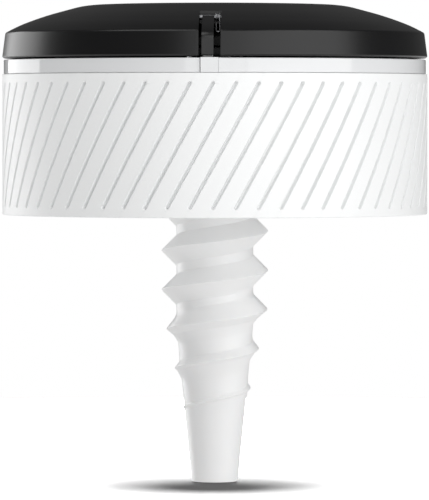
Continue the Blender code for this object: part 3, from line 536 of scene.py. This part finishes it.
class SPOUT_OT_grip_drum(bpy.types.Operator):
    """Wraps the grooved wall round the drum and closes it inside."""
    bl_idname = "spout.grip_drum"
    bl_label = "Grip Drum"

    def execute(self, context):
        sizes = in_mm(context.scene.spout_drum)
        # The rim is carried up until it nearly meets the band.
        rim_raise, top_round = 0.23, 0.1
        radius, z0, z1 = DRUM_HIGH.x, DRUM_LOW.z, DRUM_HIGH.z + rim_raise
        foot, head = z0 + sizes.foot_gap, z1 - sizes.head_gap
        lean = math.atan(sizes.twist * radius / (head - foot))
        middle = (foot + head) / 2
        reach = ((head - foot) / 2 - sizes.half_width) / math.cos(lean)

        def groove_depth(across, z):
            """Depth at a level distance from a groove's centre line: a round-ended channel."""
            x = across + (z - middle) * math.tan(lean)
            along = x * math.sin(lean) + (z - middle) * math.cos(lean)
            side = x * math.cos(lean) - (z - middle) * math.sin(lean)
            past = max(abs(along) - reach, 0)
            share = (sizes.half_width - math.hypot(side, past)) / sizes.wall
            share = min(max(share, 0), 1)
            return sizes.depth * share * share * (3 - 2 * share)

        # Columns are gathered on the groove's two walls, and rows on its two round ends.
        edge = sizes.half_width / math.cos(lean)
        slope = sizes.wall / math.cos(lean)
        half = [0.0, edge * 0.35, edge - slope] + [edge - slope * s for s in (0.8, 0.6, 0.4, 0.2, 0)]
        land = 2 * math.pi * radius / sizes.grooves
        across = [-x for x in reversed(half[1:])] + half + [land * 0.35, land * 0.5, land * 0.65]
        ends = [sizes.half_width * 2.6 * i / 16 for i in range(17)]
        round_foot = [math.radians(15 * i) for i in range(7)]
        rows = [(z0 + sizes.foot_round * (1 - math.cos(t)), sizes.foot_round * (1 - math.sin(t)))
                for t in round_foot]
        rows += [(foot - 0.35, 0)]
        rows += [(foot - 0.1 + e, 0) for e in ends]
        straight = [foot + ends[-1] + (head - foot - 2 * ends[-1]) * i / 16 for i in range(1, 16)]
        rows += [(z, 0) for z in straight]
        rows += [(head + 0.1 - e, 0) for e in reversed(ends)]
        rows += [(head + 0.4, 0), (z1 - 0.45, 0)]
        rows += [(z1 - top_round + top_round * math.sin(t), top_round - top_round * math.cos(t))
                 for t in [math.radians(22.5 * i) for i in range(5)]]
        count = len(across)

        def place(column, row):
            groove, step = divmod(column, count)
            z, inset = rows[row]
            along = across[step]
            near = along if along < land * 0.5 else along - land
            start = sizes.first - math.pi / 2 + groove * 2 * math.pi / sizes.grooves
            angle = start + along / radius + sizes.twist * (z - head) / (head - foot)
            r = radius - inset - groove_depth(near, z)
            return r * math.cos(angle), r * math.sin(angle), z

        drum = sheet("grip_drum_made", count * sizes.grooves, len(rows) - 1, place)
        # Inside: the rim's opening, the deck's ledge, the wall under it, the floor and its hole.
        rim, ledge, wall, floor, hole = 39.4, 77.3, 38.2, 55.4, 11.1
        pick(drum, "verts", lambda p: p.z > z1 - 0.001)
        run_on(drum, [(rim, z1), (rim, ledge), (wall, ledge), (wall, floor), (hole, floor), (hole, z0)])
        pick(drum, "verts", lambda p: p.z < z0 + 0.001)
        bpy.ops.mesh.bridge_edge_loops()
        weld()
        deselect()
        smooth(drum, 40)
        hand_over(drum, "grip_drum")
        return {"FINISHED"}


class SPOUT_OT_screw_stopper(bpy.types.Operator):
    """Wraps the tapered root with its screw thread, and gives it a bore and a flange."""
    bl_idname = "spout.screw_stopper"
    bl_label = "Screw Stopper"

    def execute(self, context):
        sizes = in_mm(context.scene.spout_thread)
        collar_r, collar_z = 10.8, 53.2
        flange_r, flange_z = STOPPER_HIGH.x, 57.0
        top = STOPPER_HIGH.z
        bore, bore_top = 3.3, 5.2
        tip_edge, edge_round = 0.3, 0.3
        columns = 144
        # Hyperbola widths that take the edge off the crest and fill the root's corner.
        crest_round, root_round = 0.05, 0.03

        def root(z):
            return min(sizes.root, sizes.tip + (sizes.root - sizes.tip) * z / sizes.root_taper)

        def ridge(z):
            """Height of the ridge's crest over the root."""
            crest = sizes.crest - sizes.crest_slope * max(sizes.crest_taper - z, 0)
            return crest - root(z)

        def radius_at(turn, z):
            """Root radius plus the nearest turn of the ridge, its flanks at 45 degrees."""
            nearest = sizes.crest_at_x + sizes.pitch * turn
            away = (z - nearest + sizes.pitch / 2) % sizes.pitch - sizes.pitch / 2
            height = ridge(z) + crest_round - math.hypot(away, crest_round)
            return root(z) + (height + math.hypot(height, root_round)) / 2

        # Heights of the rows up a flank, as shares of the ridge's height.
        shares = [0, 0.02, 0.05, 0.2, 0.5, 0.8, 0.96, 0.985, 1.0, 1.015]

        def rise(step, z):
            """Height of a row over its crest, with the rows gathered on the ridge."""
            base = max(ridge(z), 0.4)
            if step < len(shares):
                return base * shares[step]
            spare = sizes.pitch - base * shares[-1] * 2
            steps = 4
            if step < len(shares) + steps - 1:
                return base * shares[-1] + spare * (step - len(shares) + 1) / steps
            return sizes.pitch - base * shares[len(shares) - 1 - (step - len(shares) - steps + 1)]

        per_turn = len(shares) * 2 + 2
        # Turns are laid from below the tip to above the collar, and the ends are cut level.
        first, last = -2, 8

        def place(column, row):
            lap, step = divmod(row, per_turn)
            turn = column / columns
            crest = sizes.crest_at_x + sizes.pitch * (first + lap + turn)
            z = min(max(crest + rise(step, crest), tip_edge), collar_z)
            r = radius_at(turn, z)
            return r * math.cos(math.tau * turn), r * math.sin(math.tau * turn), z

        stopper = sheet("screw_stopper_made", columns, per_turn * (last - first), place)
        pick(stopper, "verts", lambda p: p.z < tip_edge + 0.0005)
        tip = root(tip_edge)
        run_on(stopper, [(tip - 0.05, 0.13), (tip - 0.14, 0.04), (tip - 0.28, 0), (bore + 0.2, 0),
                         (bore + 0.06, 0.06), (bore, 0.2), (bore_top, top),
                         (flange_r - edge_round, top), (flange_r, top - edge_round),
                         (flange_r, flange_z), (collar_r, flange_z), (collar_r, collar_z)])
        pick(stopper, "verts", lambda p: abs(p.z - collar_z) < 0.0005)
        bpy.ops.mesh.bridge_edge_loops()
        weld()
        deselect()
        smooth(stopper, 32)
        hand_over(stopper, "screw_stopper")
        return {"FINISHED"}


# ---------------------------------------------------------------- band, keeper and hinge

SPIGOT_R = 39.0     # radius of the step by which the band sits in the drum
SPIGOT_H = 0.7      # height of that step
OUTSIDE = 44        # clear of the drum, for tools that cut through its edge


class SPOUT_OT_band(bpy.types.Operator):
    """Turns the glossy band, notches it for the keeper and opens it for the hinge."""
    bl_idname = "spout.band"
    bl_label = "Band"

    def execute(self, context):
        r, z0, z1 = BAND_HIGH.x, BAND_LOW.z + SPIGOT_H, BAND_HIGH.z
        foot = BAND_LOW.z
        skirt, inside, ledge = 37.4, 34.6, z0 + 1.0
        corners = [(r, z1, 0.22), (r, z0, 0.08), (SPIGOT_R, z0, 0), (SPIGOT_R, foot, 0.1),
                   (skirt, foot, 0.1), (skirt, ledge, 0.2), (inside, ledge, 0.15), (inside, z1, 0.3)]
        band = turned("collar_ring_made", corners, steps=256)
        notch_left, notch_right, notch_back = -1.84, 1.72, -36.5
        keeper_notch = box((notch_left, -OUTSIDE, foot - 1), (notch_right, notch_back, z1 + 1))
        combine(band, keeper_notch, "DIFFERENCE")
        hinge_half, hinge_front = 14.6, 30
        hinge_gap = box((-hinge_half, hinge_front, foot - 1), (hinge_half, OUTSIDE, z1 + 1))
        combine(band, hinge_gap, "DIFFERENCE")
        soften(band, 0.05, angle=55)
        hand_over(band, "collar_ring")
        return {"FINISHED"}


class SPOUT_OT_keeper(bpy.types.Operator):
    """Draws the keeper tab's side view, gives it its width and rounds its edges."""
    bl_idname = "spout.keeper"
    bl_label = "Keeper Tab"

    def execute(self, context):
        low, high = span("keeper_tab")
        foot, face, top = low.z, -low.y, high.z
        step, rim = foot + SPIGOT_H, BAND_HIGH.z + 0.05
        back, post_back, post_front = 36.8, 37.3, 38.7
        outline = [(back, foot + 1.0), (SPIGOT_R, foot), (SPIGOT_R, step), (face, step), (face, rim),
                   (post_front, rim), (post_front, top - 0.6), (post_front - 0.4, top),
                   (post_back + 0.2, top), (post_back, top - 0.4), (post_back, rim - 0.05),
                   (back, rim - 0.05)]
        tab = extruded("keeper_tab_made", outline, high.x - low.x, 0.0, 0)
        post_half = 1.0
        for near, far in ((-3, LATCH.x - post_half), (LATCH.x + post_half, 3)):
            beside = box((near, -post_front - 0.1, rim), (far, -post_back + 0.3, top + 1))
            combine(tab, beside, "DIFFERENCE")
        soften(tab, 0.06)
        hand_over(tab, "keeper_tab")
        return {"FINISHED"}


class SPOUT_OT_hinge(bpy.types.Operator):
    """Builds the hinge bracket with its two ears, and the hinge pin."""
    bl_idname = "spout.hinge"
    bl_label = "Hinge"

    def execute(self, context):
        low, high = span("hinge_bracket")
        foot, base, top = low.z, BAND_LOW.z + SPIGOT_H, 82.3
        half, front, rim = high.x, 36.2, BAND_HIGH.x
        knuckle, bore = 1.7, 0.8
        inner, outer = 5.8, 8.4
        tongue_half, tongue_front, tongue_back, tongue_h = 13.3, 33.6, 37.0, 1.4
        web_half = 1.5
        screw_hole, screw_sink = 1.1, 2.0
        bracket = box((-half, front, base), (half, OUTSIDE, top))
        bracket.name = "hinge_bracket_made"
        corners = [(0, top + 1, 0), (rim, top + 1, 0), (rim, base - 1, 0), (0, base - 1, 0)]
        combine(bracket, turned("round", corners, steps=256), "INTERSECT")
        tongue = box((-tongue_half, tongue_front, foot), (tongue_half, tongue_back, foot + tongue_h))
        combine(bracket, tongue, "UNION")
        for side in (-1, 1):
            near, far = sorted((side * inner, side * outer))
            web = box((near, HINGE.y - web_half, top - 0.5), (far, HINGE.y + web_half, HINGE.z))
            combine(bracket, web, "UNION")
            ear = rod((near, HINGE.y, HINGE.z), (far, HINGE.y, HINGE.z), knuckle)
            combine(bracket, ear, "UNION")
        combine(bracket, rod((-12, HINGE.y, HINGE.z), (12, HINGE.y, HINGE.z), bore), "DIFFERENCE")
        drill(bracket, BRACKET_SCREWS, screw_hole, foot - 1, top + 2)
        drill(bracket, BRACKET_SCREWS, screw_sink, foot + tongue_h, top + 2)
        soften(bracket, 0.2, segments=2)
        hand_over(bracket, "hinge_bracket")
        pin_low, pin_high = span("hinge_pin")
        pin_r = 0.7
        pin = rod((pin_low.x, HINGE.y, HINGE.z), (pin_high.x, HINGE.y, HINGE.z), pin_r)
        pin.name = "hinge_pin_made"
        soften(pin, 0.12)
        hand_over(pin, "hinge_pin")
        return {"FINISHED"}


# ---------------------------------------------------------------- deck, nozzle and breather

class SPOUT_OT_deck(bpy.types.Operator):
    """Turns the deck plate with its screw and breather holes."""
    bl_idname = "spout.deck"
    bl_label = "Deck Plate"

    def execute(self, context):
        r, z0, z1 = DECK_HIGH.x, DECK_LOW.z, DECK_HIGH.z
        liquor_hole, deck_hole, small_hole, breather_hole = 4.3, 1.5, 1.0, 1.7
        corners = [(liquor_hole, z0, 0.2), (r, z0, 0.2), (r, z1, 0.3), (liquor_hole, z1, 0.3)]
        deck = turned("deck_plate_made", corners, steps=192)
        drill(deck, DECK_SCREWS, deck_hole, z0 - 1, z1 + 1)
        drill(deck, NOZZLE_SCREWS + BRACKET_SCREWS, small_hole, z0 - 1, z1 + 1)
        drill(deck, [BREATHER], breather_hole, z0 - 1, z1 + 1)
        soften(deck, 0.1, angle=50, segments=2)
        hand_over(deck, "deck_plate")
        return {"FINISHED"}


class SPOUT_OT_nozzle(bpy.types.Operator):
    """Turns the steel nozzle with a rolled lip, and drills its flange."""
    bl_idname = "spout.nozzle"
    bl_label = "Pour Nozzle"

    def execute(self, context):
        seat, top, flange = NOZZLE_LOW.z, NOZZLE_HIGH.z, NOZZLE_HIGH.x
        bore, tube, lip, flange_h = 4.2, 5.6, 6.6, 1.4
        screw_hole = 1.1
        corners = [(bore, seat, 0.2), (flange, seat, 0.2), (flange, seat + flange_h, 0.4),
                   (tube, seat + flange_h, 0.7), (tube, top - 1.4, 0.4), (lip, top - 0.9, 0.35),
                   (lip, top, 0.4), (bore + 0.4, top, 0.2), (bore, top - 0.4, 0.2)]
        nozzle = turned("pour_nozzle_made", corners, steps=128)
        drill(nozzle, NOZZLE_SCREWS, screw_hole, seat - 1, seat + 2)
        soften(nozzle, 0.06, angle=60, segments=2)
        hand_over(nozzle, "pour_nozzle")
        return {"FINISHED"}


class SPOUT_OT_breather(bpy.types.Operator):
    """Turns the breather's valve housing."""
    bl_idname = "spout.breather"
    bl_label = "Breather Housing"

    def execute(self, context):
        low, high = span("breather_housing")
        foot, top = low.z, high.z
        cap, flange, flange_h = 2.9, 3.8, 0.9
        vent, inlet, chamber = 0.8, 0.9, 1.7
        corners = [(vent, top, 0.1), (cap, top, 0.7), (cap, foot + flange_h, 0.2),
                   (flange, foot + flange_h, 0.2), (flange, foot, 0.1), (inlet, foot, 0.1),
                   (inlet, foot + 0.8, 0.1), (chamber, foot + 1.6, 0.2), (chamber, foot + 3.9, 0.2)]
        housing = turned("breather_housing_made", corners, steps=64,
                         at=(0, (low.y + high.y) / 2))
        hand_over(housing, "breather_housing")
        return {"FINISHED"}


class SPOUT_OT_screws(bpy.types.Operator):
    """Turns every screw with a domed head and sinks a hexagon socket in it."""
    bl_idname = "spout.screws"
    bl_label = "Screws"

    def execute(self, context):
        for node in sorted(SLOT_OF):
            if "_screw_" in node:
                self.make_screw(node)
        return {"FINISHED"}

    def make_screw(self, node):
        low, high = span(node)
        at = ((low.x + high.x) / 2, (low.y + high.y) / 2)
        head_r = (high.x - low.x) / 2
        upward = node.startswith("liner")
        head_h, shank_r = head_r * 0.55, head_r * 0.45
        # Heights are measured from the top of the head and turn over for the upward screws.
        heights = [0, 0, -head_h, -head_h, low.z - high.z, low.z - high.z]
        radii = [0, head_r, head_r, shank_r, shank_r, 0]
        fillets = [0, head_h * 0.6, 0.05, 0.05, 0.15, 0]
        level = (lambda h: low.z - h) if upward else (lambda h: high.z + h)
        corners = [(r, level(h), f) for r, h, f in zip(radii, heights, fillets)]
        screw = turned(f"{node}_made", corners, steps=48)
        reach = head_h * 0.6
        span_z = sorted((level(1), level(-reach)))
        socket = rod((0, 0, span_z[0]), (0, 0, span_z[1]), head_r * 0.45, sides=6)
        combine(screw, socket, "DIFFERENCE")
        screw.location = (at[0] * MM, at[1] * MM, 0)
        settle(screw)
        smooth(screw)
        hand_over(screw, node)


# ---------------------------------------------------------------- lid and latch

def roof_z(u):
    """Height of the lid's sloping top at a distance from the middle."""
    sizes = in_mm(bpy.context.scene.spout_lid)
    bends = [(sizes.flat_radius, LID_HIGH.z), sizes.upper_bend, sizes.lower_bend,
             (sizes.shoulder_radius, sizes.shoulder_height)]
    for (near, high), (far, low) in zip(bends, bends[1:]):
        if u <= far:
            return high + (low - high) * (u - near) / (far - near)
    return sizes.shoulder_height


def wall_u(z):
    """Distance of the lid's outer wall from the middle at a height."""
    sizes = in_mm(bpy.context.scene.spout_lid)
    lean = (LID_HIGH.x - sizes.shoulder_radius) / (sizes.shoulder_height - LID_LOW.z)
    return sizes.shoulder_radius + lean * (sizes.shoulder_height - z)


class SPOUT_OT_lid_shell(bpy.types.Operator):
    """Turns the lid, adds its bosses and hinge barrel, and cuts its latch slot and hinge notch."""
    bl_idname = "spout.lid_shell"
    bl_label = "Lid Shell"

    def execute(self, context):
        sizes = in_mm(context.scene.spout_lid)
        top, foot, rim = LID_HIGH.z, LID_LOW.z, LID_HIGH.x
        roof = top - sizes.thickness
        bore, bore_top = 39.8, 88.0
        boss_r, boss_foot, boss_hole = 2.6, 89.8, 1.2
        barrel_half, barrel_r, pin_hole = 5.4, 1.7, 0.8
        notch_half, notch_front, notch_top = 8.7, 36.9, 87.9
        corners = [(0, top, 0), (sizes.flat_radius, top, 2.0), (*sizes.upper_bend, 2.3),
                   (*sizes.lower_bend, 1.4), (sizes.shoulder_radius, sizes.shoulder_height, 0.3),
                   (rim, foot + 0.3, 0.08),
                   (rim - 0.3, foot, 0.08), (bore, foot, 0.2), (bore - 0.5, bore_top, 0.6),
                   (sizes.flat_radius - 0.7, roof, 0.8), (0, roof, 0)]
        lid = turned("lid_shell_made", corners, steps=288)
        for x, y in LINER_SCREWS:
            combine(lid, rod((x, y, boss_foot), (x, y, roof + 0.5), boss_r), "UNION")
            combine(lid, rod((x, y, boss_foot - 1.3), (x, y, top - 1.2), boss_hole), "DIFFERENCE")
        notch = box((-notch_half, notch_front, foot - 1), (notch_half, OUTSIDE, notch_top))
        combine(lid, notch, "DIFFERENCE")
        web = box((-barrel_half, HINGE.y - 1.4, HINGE.z), (barrel_half, HINGE.y + 1.2, notch_top + 0.7))
        combine(lid, web, "UNION")
        for half, radius, change in ((barrel_half, barrel_r, "UNION"), (7, pin_hole, "DIFFERENCE")):
            combine(lid, rod((-half, HINGE.y, HINGE.z), (half, HINGE.y, HINGE.z), radius), change)
        half, inner = sizes.slot_half, sizes.slot_inner
        combine(lid, box((-half, -OUTSIDE, foot - 1), (half, -inner, top + 1)), "DIFFERENCE")
        seat_half, seat_r = 3.8, 0.58
        seat = rod((-seat_half, LATCH.y, LATCH.z), (seat_half, LATCH.y, LATCH.z), seat_r)
        combine(lid, seat, "DIFFERENCE")
        # The front corners of the slot have a larger rounding than the other cut edges.
        activate(lid)
        bpy.ops.object.mode_set(mode="EDIT")
        pick(lid, "edges", lambda p: abs(abs(p.x) - half) < 0.01 and p.y < -sizes.shoulder_radius + 0.2
             and foot + 0.5 < p.z < sizes.shoulder_height - 0.4)
        bpy.ops.mesh.bevel(offset=0.32 * MM, segments=3, affect="EDGES")
        bpy.ops.object.mode_set(mode="OBJECT")
        soften(lid, 0.12, angle=50, segments=3)
        hand_over(lid, "lid_shell")
        return {"FINISHED"}


class SPOUT_OT_lid_inside(bpy.types.Operator):
    """Turns the liner, the ring gasket and the nozzle's plug under the lid."""
    bl_idname = "spout.lid_inside"
    bl_label = "Lid Liner and Seals"

    def execute(self, context):
        foot, high = LINER_LOW.z, LINER_HIGH.z
        low = foot + 2.3
        hole, rim, seal_r, screw_hole = 2.4, LINER_HIGH.x, 34.9, 1.2
        corners = [(hole, high, 0.2), (24.4, high, 0.6), (rim, foot + 1.7, 0.3), (rim, foot, 0.15),
                   (seal_r, foot, 0.15), (seal_r, foot + 0.7, 0.2), (24.0, low, 0.8), (hole, low, 0.3)]
        liner = turned("lid_liner_made", corners, steps=192)
        drill(liner, LINER_SCREWS, screw_hole, low - 1, high + 1)
        stand_for(liner, "lid_liner", finish("liner"))
        seal_low, seal_high = span("lid_gasket")
        foot, top = seal_low.z, seal_high.z
        # Two lips and a groove between them meet the band.
        corners = [(seal_r, foot + 0.3, 0.15), (35.2, foot, 0.12), (35.5, foot, 0.12),
                   (35.75, foot + 0.45, 0.15), (36.0, foot, 0.12), (36.3, foot, 0.12),
                   (36.6, foot + 0.3, 0.15), (36.6, top, 0.2), (seal_r, top, 0.2)]
        hand_over(turned("lid_gasket_made", corners, steps=192), "lid_gasket")
        plug_low, plug_high = span("nozzle_plug")
        bottom, top = plug_low.z, plug_high.z
        corners = [(0, top, 0), (2.7, top, 0.5), (3.2, high + 0.3, 0.15), (2.1, high + 0.3, 0.1),
                   (2.1, low - 0.3, 0.1), (6.2, low - 0.3, 0.4), (6.2, NOZZLE_HIGH.z + 0.3, 0.3),
                   (3.85, NOZZLE_HIGH.z + 0.3, 0.2), (3.5, bottom, 0.5), (0, bottom, 0)]
        hand_over(turned("nozzle_plug_made", corners, steps=96), "nozzle_plug")
        return {"FINISHED"}


class SPOUT_OT_latch(bpy.types.Operator):
    """Draws the L-shaped lever's side view, gives it its width, and adds its pin."""
    bl_idname = "spout.latch"
    bl_label = "Latch Lever and Pin"

    def execute(self, context):
        sizes = in_mm(context.scene.spout_lid)
        # The lever lies a little under the roof's line, and ends in an eye round the pin.
        drop, thick = 0.38, 1.3
        eye_top, eye_under, pin_r = 0.6, 1.25, 0.5
        leg_back, hook_back = 40.3, 39.0
        pin_u, pin_z = -LATCH.y, LATCH.z
        outline = arc(pin_u, pin_z, eye_top, 150, 390, 24)
        bend_u = sizes.lower_bend[0]
        outline += [(u, roof_z(u) - drop) for u in (34.9, bend_u, 40.3)]
        outline += arc(40.06, 87.25, 1.5, 60, -7, 10)
        foot = span("latch_lever")[0].z
        face = wall_u(foot + 0.25)
        outline += [(face - 0.05, foot + 0.25), (face - 0.25, foot), (hook_back + 0.3, foot),
                    (hook_back, foot + 0.3), (hook_back, foot + 0.6), (leg_back, foot + 1.8),
                    (leg_back, 86.7)]
        outline += [(u, roof_z(u) - drop - thick) for u in (39.6, bend_u, 35.0)]
        outline += arc(pin_u, pin_z, eye_under, -65, -210, 16)
        lever = extruded("latch_lever_made", outline, sizes.lever_width, LATCH.x, 0.24)
        hand_over(lever, "latch_lever")
        low, high = span("latch_pin")
        pin = rod((low.x, LATCH.y, LATCH.z), (high.x, LATCH.y, LATCH.z), pin_r)
        pin.name = "latch_pin_made"
        soften(pin, 0.1)
        stand_for(pin, "latch_pin", finish("spring_steel"))
        return {"FINISHED"}


class SPOUT_OT_latch_spring(bpy.types.Operator):
    """Bends the torsion spring's wire: a coil on the pin, a hairpin leg and a straight leg."""
    bl_idname = "spout.latch_spring"
    bl_label = "Latch Spring"

    def execute(self, context):
        coil_r, wire_r, turns, steps = 0.73, 0.13, 2.2, 66
        first_x, last_x, end_turn = 1.05, 1.75, math.radians(68)
        points = []
        for i in range(steps + 1):
            share = i / steps
            turn = end_turn - math.tau * turns * (share - 1)
            points.append(LATCH + Vector((first_x + (last_x - first_x) * share - LATCH.x,
                                          -coil_r * math.cos(turn), coil_r * math.sin(turn))))
        # The leg is bent into a hairpin: across, down in front of the pin and up again.
        for x, y, z in ((1.8, -0.95, -0.7), (1.8, -1.0, -1.6), (1.8, -1.0, -2.55), (1.75, -1.0, -2.72),
                        (1.62, -1.0, -2.8), (1.3, -1.0, -2.8), (1.17, -1.0, -2.72), (1.12, -1.0, -2.55),
                        (1.12, -0.98, -1.1)):
            points.append(LATCH + Vector((x - LATCH.x, y, z)))
        deselect()
        bpy.ops.mesh.primitive_circle_add(vertices=16, radius=wire_r * MM)
        wire = added("latch_spring_made")
        self.sweep(wire, points, wire_r)
        hand_over(wire, "latch_spring")
        return {"FINISHED"}

    def sweep(self, wire, points, radius):
        """Carries the ring along the wire's line, one extrusion to a point, and caps it."""
        ring = len(wire.data.vertices)
        side = Vector((0, 0, 1))
        bpy.ops.object.mode_set(mode="EDIT")
        bpy.ops.mesh.select_mode(type="VERT")
        bpy.ops.mesh.select_all(action="SELECT")
        for i, point in enumerate(points):
            ahead = points[min(i + 1, len(points) - 1)] - points[max(i - 1, 0)]
            ahead.normalize()
            side = (side - ahead * side.dot(ahead)).normalized()
            other = ahead.cross(side)
            if i:
                bpy.ops.mesh.extrude_region_move(TRANSFORM_OT_translate={"value": (0, 0, 0)})
            shape = bmesh.from_edit_mesh(wire.data)
            chosen = [vertex for vertex in shape.verts if vertex.select]
            for step, vertex in enumerate(sorted(chosen, key=lambda v: v.index)):
                turn = math.tau * step / ring
                vertex.co = (point + side * radius * math.cos(turn)
                             + other * radius * math.sin(turn)) * MM
            bmesh.update_edit_mesh(wire.data)
        bpy.ops.mesh.select_all(action="SELECT")
        bpy.ops.mesh.region_to_loop()
        bpy.ops.mesh.edge_face_add()
        weld()
        deselect()
        smooth(wire, 50)


# ---------------------------------------------------------------- stage

class SPOUT_OT_kept_finishes(bpy.types.Operator):
    """Gives every working-model piece that stays its procedural finish."""
    bl_idname = "spout.kept_finishes"
    bl_label = "Finishes of Kept Pieces"

    def execute(self, context):
        kept = [node for node in SLOT_OF if node in bpy.data.objects]
        if not kept:
            raise RuntimeError("no working-model piece is left to finish")
        for node in kept:
            if bpy.data.objects[node].type == "MESH":
                refinish(node, finish(SLOT_OF[node]))
        return {"FINISHED"}


class SPOUT_OT_stage(bpy.types.Operator):
    """Pale floor, soft lights and the camera."""
    bl_idname = "spout.stage"
    bl_label = "Studio Stage"

    def execute(self, context):
        scene = context.scene
        scene.view_settings.view_transform = "Standard"
        floor = self.add_floor()
        self.add_lights(floor)
        self.add_world(scene)
        self.add_camera(scene)
        return {"FINISHED"}

    def add_floor(self):
        """A round sheet of pale paper, a hair under the tip."""
        radius, under = 0.3, 0.0002
        deselect()
        bpy.ops.mesh.primitive_circle_add(
            vertices=96, radius=radius, fill_type="NGON", location=(0, 0, -under))
        floor = added("floor")
        material, shader = new_finish("pale_paper")
        shader.inputs["Base Color"].default_value = (0.16, 0.16, 0.16, 1.0)
        shader.inputs["Roughness"].default_value = 0.9
        shader.inputs["Specular IOR Level"].default_value = 0.0
        floor.data.materials.append(material)
        # The floor is lit far past white; the world's lower half stands in for its softer bounce.
        floor.visible_diffuse = False
        floor.visible_glossy = False
        return floor

    def softbox(self, name, azimuth, elevation, distance, width, height, radiance):
        """An area light that faces the drum, in metres and degrees.

        Azimuth turns from the front towards +X. Radiance is the light's brightness as seen.
        """
        drum_height = 0.075
        a, e = math.radians(azimuth), math.radians(elevation)
        out = Vector((math.sin(a) * math.cos(e), -math.cos(a) * math.cos(e), math.sin(e)))
        data = bpy.data.lights.new(name, "AREA")
        data.shape = "RECTANGLE"
        data.size = width
        data.size_y = height
        data.energy = radiance * math.pi * width * height
        item = bpy.data.objects.new(name, data)
        bpy.context.scene.collection.objects.link(item)
        item.location = Vector((0, 0, drum_height)) + out * distance
        item.rotation_euler = out.to_track_quat("Z", "Y").to_euler()

    def add_lights(self, floor):
        """Two boxes in front, two from above, one behind at the left, and a sun for the floor."""
        self.softbox("front_box", 1.5, 7, 1.4, 0.8, 1.0, 1.24)
        self.softbox("right_box", 49, 7, 1.2, 1.42, 1.0, 1.8)
        self.softbox("right_top_box", 60, 42, 1.2, 0.9, 0.7, 1.5)
        self.softbox("left_fill_box", -40, 52, 1.2, 1.0, 0.8, 2.0)
        self.softbox("left_rim_box", -129, 4, 1.2, 0.95, 0.9, 2.5)
        data = bpy.data.lights.new("top_sun", "SUN")
        data.energy = 90.0
        data.angle = math.radians(66)
        sun = bpy.data.objects.new("top_sun", data)
        sun.rotation_euler = (math.radians(-11), 0, 0)
        # It lights the floor alone, for the soft shadow under the drum.
        lit = bpy.data.collections.new("lit_by_top_sun")
        lit.objects.link(floor)
        sun.light_linking.receiver_collection = lit
        bpy.context.scene.collection.objects.link(sun)

    def add_world(self, scene):
        """White to the camera, dim to everything else."""
        world = bpy.data.worlds.new("studio")
        scene.world = world
        world.use_nodes = True
        nodes, links = world.node_tree.nodes, world.node_tree.links
        seen = nodes.new("ShaderNodeBackground")
        seen.inputs["Color"].default_value = (1, 1, 1, 1)
        dim = nodes["Background"]
        dim.inputs["Color"].default_value = (1, 1, 1, 1)
        where = nodes.new("ShaderNodeTexCoord")
        split = nodes.new("ShaderNodeSeparateXYZ")
        # Below the horizon it is as bright as the lit floor's bounce, and above it is dim.
        level = nodes.new("ShaderNodeMapRange")
        level.interpolation_type = "SMOOTHSTEP"
        settings = {"From Min": -0.15, "From Max": 0.0, "To Min": 0.85, "To Max": 0.115}
        for name, value in settings.items():
            level.inputs[name].default_value = value
        links.new(where.outputs["Generated"], split.inputs[0])
        links.new(split.outputs["Z"], level.inputs["Value"])
        links.new(level.outputs["Result"], dim.inputs["Strength"])
        path = nodes.new("ShaderNodeLightPath")
        blend = nodes.new("ShaderNodeMixShader")
        links.new(path.outputs["Is Camera Ray"], blend.inputs[0])
        links.new(dim.outputs[0], blend.inputs[1])
        links.new(seen.outputs[0], blend.inputs[2])
        links.new(blend.outputs[0], nodes["World Output"].inputs["Surface"])

    def add_camera(self, scene):
        """A long lens nearly level with the band, a touch to the right of the latch."""
        distance, azimuth, height = 0.992, math.radians(1.4), 0.0719
        aim = Vector((-0.00006, 0, 0.0458))
        data = bpy.data.cameras.new("camera")
        data.lens = 360.9
        data.sensor_width = 36.0
        camera = bpy.data.objects.new("camera", data)
        scene.collection.objects.link(camera)
        camera.location = (distance * math.sin(azimuth), -distance * math.cos(azimuth), height)
        look = aim - camera.location
        camera.rotation_euler = look.to_track_quat("-Z", "Y").to_euler()
        scene.camera = camera


PARTS = (
    SPOUT_OT_grip_drum, SPOUT_OT_screw_stopper, SPOUT_OT_band, SPOUT_OT_keeper, SPOUT_OT_hinge,
    SPOUT_OT_deck, SPOUT_OT_nozzle, SPOUT_OT_breather, SPOUT_OT_screws, SPOUT_OT_lid_shell,
    SPOUT_OT_lid_inside, SPOUT_OT_latch, SPOUT_OT_latch_spring, SPOUT_OT_kept_finishes,
    SPOUT_OT_stage)


class SPOUT_PT_pour_spout(bpy.types.Panel):
    """Lists the steps that build the pour spout."""
    bl_idname = "SPOUT_PT_pour_spout"
    bl_label = "Pour Spout"
    bl_space_type = "VIEW_3D"
    bl_region_type = "UI"
    bl_category = "Pour Spout"

    def draw(self, context):
        column = self.layout.column(align=True)
        for part in PARTS:
            column.operator(part.bl_idname)


GROUPS = {
    "spout_drum": SpoutDrumSizes,
    "spout_thread": SpoutThreadSizes,
    "spout_lid": SpoutLidSizes,
    "spout_colours": SpoutColours,
}
CLASSES = (*GROUPS.values(), *PARTS, SPOUT_PT_pour_spout)


def register():
    """Registers the groups, operators and panel, and hangs the groups on the scene."""
    for item in CLASSES:
        bpy.utils.register_class(item)
    for name, group in GROUPS.items():
        setattr(bpy.types.Scene, name, bpy.props.PointerProperty(type=group))


def unregister():
    """Takes the groups off the scene and unregisters everything."""
    for name in GROUPS:
        delattr(bpy.types.Scene, name)
    for item in reversed(CLASSES):
        bpy.utils.unregister_class(item)


def main():
    """Registers the classes and runs every step in order."""
    register()
    for part in PARTS:
        group, name = part.bl_idname.split(".")
        getattr(getattr(bpy.ops, group), name)()


if __name__ == "__main__":
    main()
